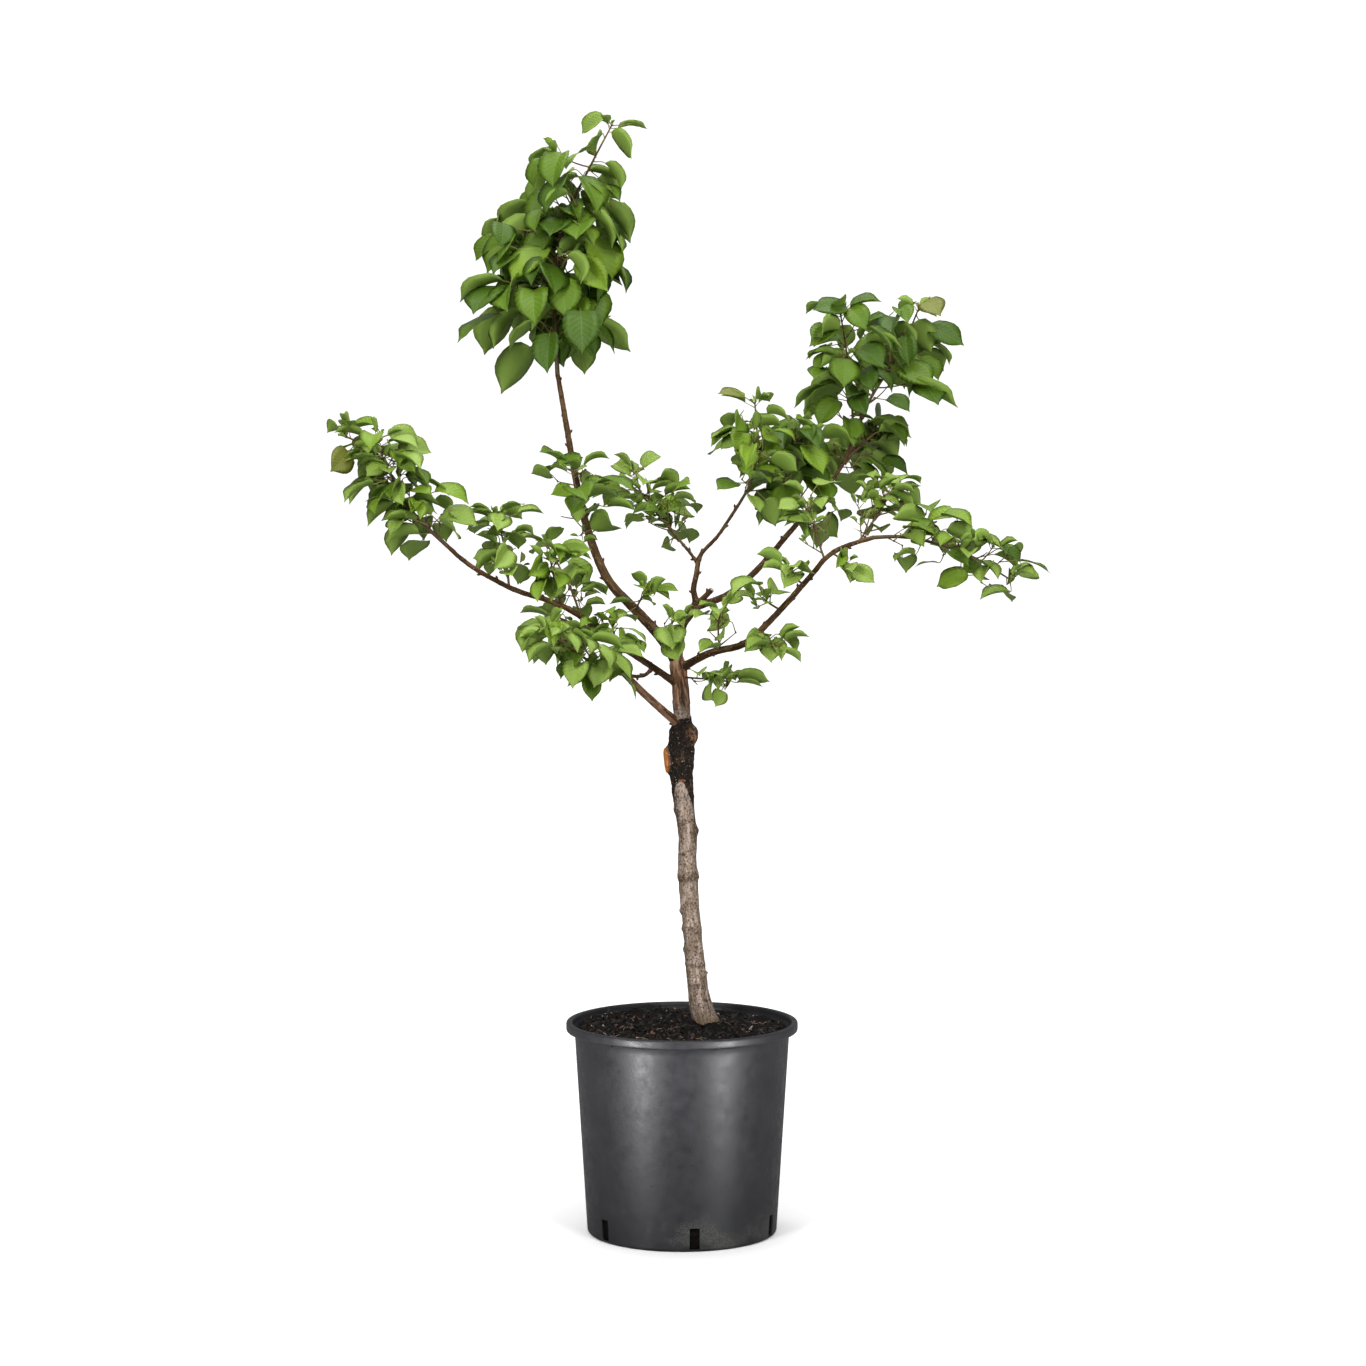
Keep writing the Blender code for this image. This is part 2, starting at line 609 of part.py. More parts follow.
def solid_leaves(leaves, stem):
    """The leaves that the solid keeps, outermost first: an even share of them, none crossing another."""
    def off_stem(point):
        return min(math.dist(point, p) for p in stem)

    tips = [off_stem(on_leaf(leaf, 1, 0)) for leaf in leaves]
    outer = sorted(tips, reverse=True)[:round(len(leaves) * SOLID_SHARE)]
    kept, trees = [], []
    for k in sorted(range(len(leaves)), key=lambda k: -tips[k]):
        leaf = leaves[k]
        if leaf["spur"] and math.dist(leaf["spur"], leaf["root"]) < LEAST_TWIG:
            leaf["root"] = leaf["spur"]
        bm = bmesh.new()
        leaf_solid(bm, leaf)
        inner = tips[k] < outer[-1] and k % 3 > 0
        tree = BVHTree.FromBMesh(bm)
        if inner or any(math.dist(leaf["neck"], other["neck"]) < leaf["length"] + other["length"]
                        and tree.overlap(known) for other, known in zip(kept, trees)):
            bm.free()
            continue
        kept.append({**leaf, "mesh": bm})
        trees.append(tree)
    return kept


def add_mass(name, stem, twigs, leaves, limbs, mat):
    """One mass: its stem trimmed to its bough, then twigs and leaves joined to it by one union."""
    root, tip = MASSES[name]["girth"]
    rings = max(4, round(len(stem) * 0.6))
    radii = [between((root, tip), i / (rings - 1)) * MM for i in range(rings)]
    obj = object_of(tube(bmesh.new(), thinned(stem, rings), radii, STEM_SIDES), name)
    trimmed(obj, stem, root * MM, limbs)
    pieces = bpy.data.collections.new(name + "_pieces")
    bpy.context.scene.collection.children.link(pieces)
    kept = solid_leaves(leaves, stem)
    for start, end in twigs:
        way = unit(add(end, start, -1))
        used = [dot(add(leaf["root"], start, -1), way) for leaf in kept if leaf["twig"] == (start, end)]
        if used and max(used) > LEAST_TWIG:
            bm = tube(bmesh.new(), [add(start, way, -0.5 * MM), add(start, way, max(used) + 1.5 * MM)],
                      [r * MM for r in TWIG_RADII], 3)
            object_of(bm, "twig", pieces)
    for leaf in kept:
        object_of(leaf["mesh"], "leaf", pieces)
    boolean(obj, pieces, "UNION", "MANIFOLD")
    largest_body(obj)
    finish(obj, mat, smooth=False)
    return len(kept)


def add_pot(mat):
    inner_neck, inner_foot = NECK_RADIUS - POT_WALL, FOOT_RADIUS - POT_WALL
    profile = [(0, 0), (FOOT_RADIUS - FOOT_ROUND, 0), (FOOT_RADIUS - 0.3 * FOOT_ROUND, 0.3 * FOOT_ROUND),
               (FOOT_RADIUS, FOOT_ROUND), (NECK_RADIUS, POT_HEIGHT - LIP_DEPTH - 2 * MM),
               (RIM_RADIUS - 2 * MM, POT_HEIGHT - LIP_DEPTH), (RIM_RADIUS, POT_HEIGHT - LIP_DEPTH + 3 * MM),
               (RIM_RADIUS, POT_HEIGHT - 3 * MM), (RIM_RADIUS - 2.5 * MM, POT_HEIGHT),
               (RIM_INNER + 2 * MM, POT_HEIGHT), (RIM_INNER, POT_HEIGHT - 2 * MM),
               (inner_neck, POT_HEIGHT - LIP_DEPTH), (inner_foot, FOOT_ROUND),
               (inner_foot - 2 * MM, POT_WALL), (0, POT_WALL)]
    pot = turned("pot", profile, TURNED_SIDES)
    for k in range(SLOT_COUNT):
        turn = SLOT_TURN + k * 2 * math.pi / SLOT_COUNT
        bpy.ops.mesh.primitive_cube_add(size=1, rotation=(0, 0, turn), location=(
            FOOT_RADIUS * math.cos(turn), FOOT_RADIUS * math.sin(turn), (SLOT_LOW + SLOT_HIGH) / 2))
        cutter = bpy.context.object
        cutter.scale = (0.02, SLOT_WIDTH, SLOT_HIGH - SLOT_LOW)
        bpy.context.view_layer.update()
        boolean(pot, cutter, "DIFFERENCE")
    finish(pot, mat)
    return pot


def add_soil(mat):
    """The root ball and compost that fill the pot up to just under its rim."""
    low, high = POT_WALL + GAP, SOIL_LEVEL
    slope = (NECK_RADIUS - FOOT_RADIUS) / (POT_HEIGHT - LIP_DEPTH - FOOT_ROUND)

    def edge(z):
        return FOOT_RADIUS - POT_WALL + slope * (z - FOOT_ROUND) - 2 * GAP

    profile = [(0, low), (edge(low) - 3 * MM, low), (edge(FOOT_ROUND + GAP), FOOT_ROUND + GAP),
               (edge(high - 5 * MM), high - 5 * MM), (edge(high - 5 * MM) - 3 * MM, high), (0, high)]
    soil = turned("soil", profile, TURNED_SIDES)
    finish(soil, mat)
    return soil


def main():
    clear_scene()
    limbs, stems, growth = whole_tree()
    add_pot(material("black_moulded_plastic", (52, 54, 57), 0.42))
    add_soil(material("bark_compost", (48, 38, 34), 0.95))
    bark = material("grey_brown_bark", (120, 104, 96), 0.85)
    young = material("red_brown_bark", (104, 66, 46), 0.7)
    green = material("apricot_leaf", (96, 120, 56), 0.5)
    done = {}
    for name, line in limbs.items():
        obj = object_of(limb_tube(name, line), name)
        trimmed(obj, line, limb_radius(name, 0.1), done)
        finish(obj, (bark if name == "trunk" else young).copy())
        done[name] = line
    total = 0
    for name, (twigs, leaves) in growth.items():
        total += add_mass(name, stems[name], twigs, leaves, limbs, green.copy())
    print("leaves in the solids:", total)


if __name__ == "__main__":
    main()
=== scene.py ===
"""Looks of a young apricot tree in a round nursery pot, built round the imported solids.

Metres, +Z up, in the frame of the solids: the origin is the centre of the pot's underside, and -Y is the
side that the photo shows. The trunk, the boughs and the masses of foliage follow the same tables and the
same growth rule as the solids, carried on here to bark, fine shoots, stalks, buds and whole leaves.
"""

import functools
import json
import math
import random

import bmesh
import bpy
import numpy as np
from bpy.props import FloatProperty, FloatVectorProperty, IntProperty, PointerProperty
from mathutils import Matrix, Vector, noise

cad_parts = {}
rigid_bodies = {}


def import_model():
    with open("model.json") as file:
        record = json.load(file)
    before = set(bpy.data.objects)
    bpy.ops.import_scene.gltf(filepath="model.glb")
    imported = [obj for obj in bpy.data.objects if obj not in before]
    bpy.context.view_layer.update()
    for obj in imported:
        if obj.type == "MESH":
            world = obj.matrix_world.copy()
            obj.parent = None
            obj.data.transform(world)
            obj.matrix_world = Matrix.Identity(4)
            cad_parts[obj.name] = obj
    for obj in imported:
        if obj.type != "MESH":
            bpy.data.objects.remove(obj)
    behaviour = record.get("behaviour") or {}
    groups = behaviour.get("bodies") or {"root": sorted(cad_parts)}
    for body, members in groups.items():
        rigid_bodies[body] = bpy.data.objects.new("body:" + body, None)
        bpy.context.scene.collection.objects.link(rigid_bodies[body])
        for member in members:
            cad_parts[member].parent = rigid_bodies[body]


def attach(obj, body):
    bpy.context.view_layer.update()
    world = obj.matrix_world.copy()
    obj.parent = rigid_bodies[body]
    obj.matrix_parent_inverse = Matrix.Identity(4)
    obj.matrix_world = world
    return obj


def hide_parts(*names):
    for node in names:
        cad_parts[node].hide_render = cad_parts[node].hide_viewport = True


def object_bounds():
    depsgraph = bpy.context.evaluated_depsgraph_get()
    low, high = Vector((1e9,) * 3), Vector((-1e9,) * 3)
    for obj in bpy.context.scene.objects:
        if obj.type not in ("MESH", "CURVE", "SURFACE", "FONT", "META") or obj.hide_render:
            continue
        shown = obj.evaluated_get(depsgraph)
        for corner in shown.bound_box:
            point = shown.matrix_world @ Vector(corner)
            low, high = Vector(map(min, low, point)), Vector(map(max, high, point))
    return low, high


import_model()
CAD_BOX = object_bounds()

bl_info = {
    "name": "Potted apricot tree",
    "version": (1, 0, 0),
    "blender": (4, 5, 0),
    "location": "3D View > Sidebar > Apricot tree",
    "description": "Pot, compost, bark, shoots and leaves of an apricot tree, from named sizes and colours",
    "category": "Object",
}

MM = 0.001
SOIL_LEVEL = 293 * MM
GAP = 0.35 * MM

# Trunk, which leans left as it rises: each run is a length in mm, a bearing from +X and a climb in degrees
TRUNK_FOOT = (0.035, 0.030, SOIL_LEVEL + GAP)
TRUNK_RUNS = ((37, -169, 74), (64, -156, 83), (116, -142, 84), (53, -97, 87), (90, -150, 84),
              (40, -113, 87), (28, -64, 85), (58, -118, 86), (48, -156, 83))
# Its radius in mm by share of its height: root flare, rings, the swollen graft and the crowded fork
TRUNK_GIRTH = ((0, 19), (0.03, 16.6), (0.07, 15.4), (0.19, 13.6), (0.24, 13.2), (0.39, 13.4), (0.41, 14.2),
               (0.43, 13.5), (0.52, 13.0), (0.59, 13.3), (0.63, 14.8), (0.68, 16), (0.74, 18.4), (0.80, 17.2),
               (0.825, 13), (0.87, 11.9), (0.92, 12.2), (0.975, 12.6), (1, 8.6))

# Boughs: host, share of the host's length, radius in mm at root and tip, and runs as on the trunk
BOUGHS = {
    "leader_bough": ("trunk", 0.99, (8.0, 3.4), (
        (45, 166, 52), (50, 156, 44), (55, 152, 42), (55, 142, 58), (65, 134, 66), (65, 124, 70),
        (55, 124, 72), (50, 134, 76), (30, 130, 74))),
    "left_bough": ("trunk", 0.92, (5.0, 3.0), (
        (50, -148, 32), (70, -150, 32), (75, -150, 34), (45, -154, 26), (60, -156, 18), (70, -156, 28),
        (45, -162, 40))),
    "front_left_bough": ("left_bough", 0.13, (2.8, 2.3), (
        (35, -108, -14), (45, -110, 2), (45, -116, 10))),
    "low_left_bough": ("trunk", 0.81, (6.4, 4.2), (
        (75, -146, 38), (45, -148, 42), (45, -150, 44))),
    "centre_bough": ("trunk", 0.99, (6.5, 5.4), (
        (50, 70, 66), (20, 26, 54), (20, 28, 58))),
    "right_high_bough": ("centre_bough", 0.94, (5.2, 2.8), (
        (35, 42, 10), (40, 46, 16), (65, 48, 28), (75, 44, 38), (80, 38, 42), (75, 30, 50),
        (75, 36, 64))),
    "upright_bough": ("centre_bough", 1.0, (4.2, 3.6), (
        (20, -144, 76), (20, 2, 80), (20, 32, 80))),
    "cut_stub": ("centre_bough", 0.98, (4.2, 3.6), ((15, -28, 36), (20, -32, 42))),
    "centre_right_bough": ("upright_bough", 1.0, (2.9, 2.2), (
        (15, 24, 64), (30, -8, 46), (30, -22, 54), (30, -18, 56))),
    "back_left_bough": ("upright_bough", 0.97, (2.6, 2.1), (
        (40, 112, 24), (35, 110, 20))),
    "right_low_bough": ("trunk", 0.965, (5.6, 3.0), (
        (50, -34, 26), (25, -32, 18), (45, -30, 16), (65, -26, 42), (75, -28, 46), (30, -26, 48),
        (30, -22, 32), (45, -14, 18))),
}


def mass(host, at, girth, runs, blade, twig, spurs, leaves, droop, rise, reach, seed, shoots=()):
    """A mass of foliage: lengths in mm, and blade and twig lengths at its stem's root and tip."""
    return dict(host=host, at=at, girth=girth, runs=runs, blade=blade, twig=twig, spurs=spurs, leaves=leaves,
                droop=droop, rise=rise, reach=reach, seed=seed, shoots=shoots)


# Masses of foliage, each from one stem on its bough
MASSES = {
    "leader_crown": mass(
        "leader_bough", 1.0, (3.4, 1.0), ((125, 110, 85), (100, 20, 80), (80, 0, 65), (68, -20, 60)),
        (77, 54), (73, 38), 54, 3, 60, 0.2, 175, 283,
        ((0.33, 125, 175, 48, 5), (0.82, 55, 200, 20, 3))),
    "leader_spray": mass(
        "leader_bough", 0.47, (1.6, 1.1), ((50, -105, 35), (40, -110, 60), (35, 180, 80)),
        (61, 54), (37, 25), 11, 2, 15, 0.0, 130, 47),
    "leader_spur": mass(
        "leader_bough", 0.2, (1.5, 1.1), ((35, -75, 30), (20, -50, 35)),
        (35, 32), (5, 4), 9, 2, 25, 0.2, 69, 529),
    "left_crown": mass(
        "left_bough", 1.0, (3.0, 1.2), ((70, -170, 45), (85, -170, 60), (50, -170, 30)),
        (49, 40), (30, 14), 26, 3, 35, 0.45, 104, 602,
        ((0.66, 20, 25, 55, 2), (0.8, 25, 20, 65, 2))),
    "left_inner_spray": mass(
        "left_bough", 0.54, (1.8, 1.1), ((40, -105, 45), (25, -110, 65), (20, -120, 65)),
        (50, 44), (28, 16), 12, 2, 40, 0.45, 90, 388),
    "left_mid_spray": mass(
        "left_bough", 0.74, (1.8, 1.1), ((50, 105, 65), (30, 115, 60), (25, 140, 70)),
        (46, 40), (24, 16), 14, 2, 35, 0.2, 109, 903),
    "left_back_spray": mass(
        "left_bough", 0.46, (1.8, 1.1), ((50, 110, 40), (50, 130, 50), (30, 145, 55)),
        (54, 47), (21, 12), 12, 2, 25, 0.0, 95, 926),
    "left_low_spray": mass(
        "left_bough", 0.22, (1.8, 1.1), ((40, -115, 20), (35, -120, 25), (25, -150, 45)),
        (43, 38), (21, 16), 15, 2, 35, 0.45, 92, 234),
    "front_left_crown": mass(
        "front_left_bough", 1.0, (2.3, 1.2), ((55, -125, 15), (40, -130, 25), (40, -125, 25), (30, -140, 25)),
        (53, 44), (37, 21), 18, 2, 45, 0.45, 80, 814),
    "low_left_crown": mass(
        "low_left_bough", 1.0, (4.0, 1.4), ((30, -155, 45), (30, -155, 40), (30, -150, 25)),
        (55, 48), (32, 19), 13, 2, 45, 0.45, 98, 306),
    "back_left_crown": mass(
        "back_left_bough", 1.0, (2.1, 1.2), ((50, 110, 20), (65, 120, 30), (30, 125, 35), (40, 105, 45)),
        (50, 44), (33, 18), 19, 2, 15, 0.45, 95, 415,
        ((0.12, 22, -180, -35, 1),)),
    "centre_right_crown": mass(
        "centre_right_bough", 1.0, (2.2, 1.0), ((30, -20, 60), (35, -30, 75), (35, -50, 85), (45, -145, 85)),
        (54, 44), (33, 15), 18, 2, 40, 0.0, 130, 440,
        ((0.82, 25, 215, 5, 2),)),
    "right_high_spray": mass(
        "right_high_bough", 0.55, (2.2, 1.2), ((50, -110, 45), (50, -105, 60), (55, -60, 65)),
        (66, 57), (56, 33), 14, 3, 45, 0.45, 109, 553),
    "right_high_crown": mass(
        "right_high_bough", 1.0, (2.8, 1.1), ((35, 20, 60), (80, 25, 55), (65, 20, 65)),
        (72, 49), (51, 16), 17, 3, 60, 0.2, 130, 571,
        ((0.45, 85, 135, 45, 3), (0.7, 40, 150, 70, 2))),
    "right_high_side": mass(
        "right_high_bough", 0.9, (2.0, 1.1), ((70, -95, 55), (60, -105, 65), (75, -130, 75)),
        (60, 50), (43, 24), 15, 3, 40, 0.45, 109, 155),
    "right_back_spray": mass(
        "right_high_bough", 0.76, (2.0, 1.1), ((45, 55, 35), (50, 50, 30), (35, 55, 25)),
        (58, 50), (31, 19), 17, 3, 40, 0.2, 100, 544),
    "right_low_crown": mass(
        "right_low_bough", 1.0, (3.0, 1.2), ((50, -5, 0), (75, -5, -15), (75, -5, -30)),
        (50, 46), (41, 22), 20, 2, 25, 0.45, 92, 685,
        ((0.3, 45, 35, 55, 2),)),
    "right_low_shoot": mass(
        "right_low_bough", 0.94, (1.6, 1.1), ((30, 40, 45), (30, 35, 50), (25, 30, 60)),
        (46, 40), (43, 31), 13, 2, 25, 0.45, 95, 477),
    "right_low_spray": mass(
        "right_low_bough", 0.79, (1.6, 1.1), ((25, 125, 60), (30, 120, 60), (25, 125, 55)),
        (54, 48), (42, 26), 8, 2, 35, 0.45, 103, 989),
    "right_bend_spur": mass(
        "right_low_bough", 0.83, (1.5, 1.1), ((20, -55, -20), (15, -35, -30)),
        (40, 38), (11, 11), 5, 2, 45, 0.45, 65, 128),
    "right_spur_high": mass(
        "right_low_bough", 0.21, (1.5, 1.1), ((25, -100, 45), (25, -90, 60), (20, -75, 60)),
        (40, 38), (27, 16), 6, 2, 15, 0.0, 91, 885),
    "right_spur_low": mass(
        "trunk", 0.945, (1.5, 1.1), ((50, -45, 0), (40, -45, 5)),
        (48, 46), (13, 11), 7, 2, 25, 0.0, 85, 906),
    "right_spur_mid": mass(
        "right_low_bough", 0.41, (1.6, 1.1), ((30, -75, -20), (25, -65, -20)),
        (46, 44), (11, 9), 7, 2, 40, 0.0, 75, 397),
    "right_spur_bend": mass(
        "right_low_bough", 0.52, (1.6, 1.1), ((25, -135, 25), (15, -130, 30)),
        (49, 45), (14, 12), 8, 2, 15, 0.0, 75, 413),
    "right_spur_tall": mass(
        "right_low_bough", 0.66, (1.6, 1.1), ((25, -125, 25), (15, -115, 50)),
        (44, 39), (11, 8), 6, 2, 35, 0.45, 65, 551),
    "collar_spray": mass(
        "leader_bough", 0.07, (1.6, 1.1), ((35, -80, 25), (35, -70, 35)),
        (52, 48), (22, 17), 10, 2, 30, 0.0, 92, 546),
}

# Share of a stem's length from which it is this year's shoot, with single leaves at every other node
NEW_SHOOTS = {"leader_crown": 0.66, "left_crown": 0.82, "back_left_crown": 0.8, "centre_right_crown": 0.7,
              "right_high_crown": 0.74, "right_high_side": 0.82, "right_low_crown": 0.86}

# Growth rule
# Turn in radians from one node of a stem to the next, and how far it strays
GOLDEN_TURN = math.radians(137.5)
TURN_SPREAD = 0.35
# The part of a stem that bears spurs, and how its twigs and blades change along it, as a power
STEM_SPAN = (0.06, 0.97)
BULK_POWER = 1.6
# Twigs: length as a share of the mass's, angle to the stem in degrees, and the length of the shortest
TWIG_SHARE = (0.45, 1.25)
TWIG_SPREAD = (45, 75)
SHORT_TWIG = 12 * MM
# Share of a long shoot that is bare at its foot
BARE_SHOOT = 0.3
# Blades: length as a share of the mass's, width as a share of the length, and fall and roll in degrees
BLADE_SHARE = (0.68, 1.12)
BLADE_WIDTH = (0.72, 0.86)
BLADE_FALL = 28
BLADE_ROLL = 28
# Leaf stalks: angle to the twig in degrees, length as a share of the blade's, and steepest rise
STALK_LEAN = (45, 70)
STALK_SHARE = (0.36, 0.52)
STALK_CLIMB = 0.45
# Leaves at a stem's tip, and how much less they droop, in degrees
TIP_LEAVES = 3
TIP_LIFT = 35
# How far a mass stays clear of its neighbours' space and of every limb
MARGIN = 1.5 * MM
LIMB_MARGIN = 2.4 * MM


def add(a, b, k=1.0):
    return (a[0] + k * b[0], a[1] + k * b[1], a[2] + k * b[2])


def dot(a, b):
    return a[0] * b[0] + a[1] * b[1] + a[2] * b[2]


def cross(a, b):
    return (a[1] * b[2] - a[2] * b[1], a[2] * b[0] - a[0] * b[2], a[0] * b[1] - a[1] * b[0])


def unit(a):
    size = math.sqrt(dot(a, a)) or 1.0
    return (a[0] / size, a[1] / size, a[2] / size)


def between(pair, t):
    return pair[0] + (pair[1] - pair[0]) * t


def heading(bearing, climb):
    b, c = math.radians(bearing), math.radians(climb)
    return (math.cos(c) * math.cos(b), math.cos(c) * math.sin(b), math.sin(c))


def laid_out(start, runs):
    """The corners of a limb: each run goes on from the end of the one before."""
    points = [tuple(start)]
    for length, bearing, climb in runs:
        points.append(add(points[-1], heading(bearing, climb), length * MM))
    return points


def flowing(points, steps=4):
    """A smooth line through a limb's corners."""
    line = []
    for i in range(len(points) - 1):
        a, b, c = points[max(i - 1, 0)], points[i], points[i + 1]
        d = points[min(i + 2, len(points) - 1)]
        for s in range(steps):
            t = s / steps
            line.append(tuple(
                q + 0.5 * t * (r - p + t * (2 * p - 5 * q + 4 * r - e + t * (3 * q - p - 3 * r + e)))
                for p, q, r, e in zip(a, b, c, d)))
    line.append(tuple(points[-1]))
    return line


def place_on(line, share):
    """The point and the heading at a share of a line's length."""
    lengths = [0.0]
    for a, b in zip(line, line[1:]):
        lengths.append(lengths[-1] + math.dist(a, b))
    goal = max(0.0, min(1.0, share)) * lengths[-1]
    for i in range(len(line) - 1):
        if goal <= lengths[i + 1] or i == len(line) - 2:
            break
    step = add(line[i + 1], line[i], -1)
    return add(line[i], step, (goal - lengths[i]) / (lengths[i + 1] - lengths[i])), unit(step)


def sideways(way, turn):
    """The direction square to a way, turned round it from the back of the tree."""
    back = unit(add((0.0, 1.0, 0.0), way, -way[1]))
    return add(tuple(math.cos(turn) * x for x in back), cross(way, back), math.sin(turn))


def tree_lines():
    """The lines of the trunk and boughs, and those of the masses' stems."""
    limbs = {"trunk": flowing(laid_out(TRUNK_FOOT, TRUNK_RUNS))}
    for name, (host, at, _, runs) in BOUGHS.items():
        limbs[name] = flowing(laid_out(place_on(limbs[host], at)[0], runs))
    stems = {name: flowing(laid_out(place_on(limbs[m["host"]], m["at"])[0], m["runs"]))
             for name, m in MASSES.items()}
    return limbs, stems


def limb_radius(name, share):
    if name == "trunk":
        places, sizes = zip(*TRUNK_GIRTH)
        return float(np.interp(share, places, sizes)) * MM
    root, tip = BOUGHS[name][2]
    swell = 1 + 0.22 * max(0.0, 1 - share / 0.08)
    return (root + (tip - root) * share) * swell * MM


class Room:
    """Where each mass may grow: nearer to its own stem than to any other, and clear of every limb."""

    def __init__(self, limbs, stems):
        self.names = list(stems)
        starts, ends, first, thick = [], [], [], []
        for name, line in list(stems.items()) + list(limbs.items()):
            first.append(len(starts))
            starts.extend(line[:-1])
            ends.extend(line[1:])
            last = len(line) - 1
            thick.extend(0.0 if name in stems else limb_radius(name, i / last) for i in range(last))
        self.a = np.array(starts)
        self.ab = np.array(ends) - self.a
        self.square = np.maximum((self.ab ** 2).sum(1), 1e-12)
        self.first, self.thick = first, np.array(thick)
        self.limbs = first[len(stems)]

    def off(self, points, spans):
        """The distance of each point from each span of the lines."""
        p = np.asarray(points)[:, None]
        a, ab, square = self.a[spans], self.ab[spans], self.square[spans]
        k = np.clip(((p - a) * ab).sum(-1) / square, 0, 1)
        return np.sqrt(((p - (a + k[..., None] * ab)) ** 2).sum(-1))

    def holds(self, marks, cover, name, reach):
        """Whether a mass's space holds some marks, with a cover of points that are clear of the limbs."""
        own = self.names.index(name)
        stems = slice(0, self.limbs)
        near = np.minimum.reduceat(self.off(marks, stems), self.first[:len(self.names)], axis=1)
        mine = near[:, own].copy()
        near[:, own] = 1.0
        if (mine > reach).any() or (near.min(1) < mine + MARGIN).any():
            return False
        spans = slice(self.limbs, None)
        return not (self.off(cover, spans) < self.thick[spans] + LIMB_MARGIN).any()


def new_leaf(root, way, turn, length, droop, rng):
    """One leaf: its stalk leaves the twig at an angle, and its blade droops from the stalk's end."""
    lean = math.radians(rng.uniform(*STALK_LEAN))
    out = sideways(way, turn)
    stalk = unit(add(add(tuple(math.cos(lean) * x for x in way), out, math.sin(lean)), (0, 0, 1), 0.15))
    stalk = unit((stalk[0], stalk[1], min(stalk[2], STALK_CLIMB)))
    neck = add(root, stalk, length * rng.uniform(*STALK_SHARE))
    fall = math.radians(droop + rng.uniform(-BLADE_FALL, BLADE_FALL))
    level = unit((stalk[0], stalk[1], 1e-4))
    axis = add(tuple(math.cos(fall) * x for x in level), (0, 0, 1), -math.sin(fall))
    axis = unit(add(axis, stalk, 0.35))
    up = unit(add((0, 0, 1), axis, -axis[2]))
    roll = rng.gauss(0, math.radians(BLADE_ROLL))
    face = unit(add(tuple(math.cos(roll) * x for x in up), cross(axis, up), math.sin(roll)))
    return {"root": root, "neck": neck, "stalk": stalk, "axis": axis, "face": face,
            "length": length, "width": length * rng.uniform(*BLADE_WIDTH)}


def on_leaf(leaf, along, across):
    """A point of a blade, by shares of its length and of its half width."""
    side = cross(leaf["axis"], leaf["face"])
    middle = add(leaf["neck"], leaf["axis"], along * leaf["length"])
    return add(middle, side, 0.5 * across * leaf["width"])


def leaf_marks(leaf):
    corners = ((0, 0), (0.3, 1), (0.3, -1), (0.45, 0), (0.7, 0.7), (0.7, -0.7), (1, 0))
    return [add(leaf["root"], leaf["stalk"], 0.5 * math.dist(leaf["root"], leaf["neck"]))] + [
        on_leaf(leaf, *corner) for corner in corners]


def leaf_cover(leaf):
    span = math.dist(leaf["root"], leaf["neck"])
    stalk = [add(leaf["root"], leaf["stalk"], span * k / 5) for k in range(5)]
    half = (0.05, 0.7, 1.0, 0.97, 0.8, 0.5, 0.05)
    return stalk + [on_leaf(leaf, i / 6, half[i] * k / 3) for i in range(7) for k in range(-3, 4)]


def grown(name, stem, room):
    """The twigs and leaves of one mass: spurs wind up its stem, and single leaves end it."""
    m = MASSES[name]
    rng = random.Random(m["seed"])
    reach = m["reach"] * MM
    twigs, leaves = [], []

    def keep(leaf, twig=None):
        if room.holds(leaf_marks(leaf), leaf_cover(leaf), name, reach):
            leaves.append({**leaf, "twig": twig})

    def twig_with_leaves(root, way, length, count, size, share):
        tip = add(root, way, length)
        marks = [add(root, way, length * k / 4) for k in range(5)]
        bare = length < SHORT_TWIG or not room.holds(marks, marks, name, reach)
        if not bare:
            twigs.append((root, tip))
        spin = rng.uniform(0, 2 * math.pi)
        for k in range(count):
            spin += GOLDEN_TURN
            blade = size * rng.uniform(*BLADE_SHARE)
            base = root if bare else add(root, way, length * (share + (1 - share) * (k + 1) / count))
            leaf = new_leaf(base, way, spin, blade, m["droop"], rng)
            if not bare or k == 0:
                keep(leaf, None if bare else (root, tip))

    turn = rng.uniform(0, 2 * math.pi)
    for i in range(m["spurs"]):
        t = between(STEM_SPAN, (i + 0.5) / m["spurs"])
        root, way = place_on(stem, t)
        bulk = t ** BULK_POWER
        turn += GOLDEN_TURN + rng.uniform(-TURN_SPREAD, TURN_SPREAD)
        length = between(m["twig"], bulk) * rng.uniform(*TWIG_SHARE) * MM
        spread = math.radians(rng.uniform(*TWIG_SPREAD))
        out = sideways(way, turn)
        way = add(tuple(math.cos(spread) * x for x in way), out, math.sin(spread))
        way = unit(add(way, (0, 0, 1), m["rise"]))
        fresh = t > NEW_SHOOTS.get(name, 1.0)
        if not (fresh and i % 2):
            length, count = (0.0, 1) if fresh else (length, m["leaves"])
            twig_with_leaves(root, way, length, count, between(m["blade"], bulk) * MM, 0.0)
    for t, length, bearing, climb, count in m["shoots"]:
        twig_with_leaves(place_on(stem, t)[0], heading(bearing, climb), length * MM, count,
                         between(m["blade"], t) * MM, BARE_SHOOT)
    tip, way = place_on(stem, 1.0)
    for k in range(TIP_LEAVES):
        turn += GOLDEN_TURN
        blade = m["blade"][1] * rng.uniform(0.7, 1.0) * MM
        keep(new_leaf(tip, way, turn, blade, m["droop"] - TIP_LIFT, rng))
    return twigs, leaves


def whole_tree():
    limbs, stems = tree_lines()
    room = Room(limbs, stems)
    return limbs, stems, {name: grown(name, stem, room) for name, stem in stems.items()}


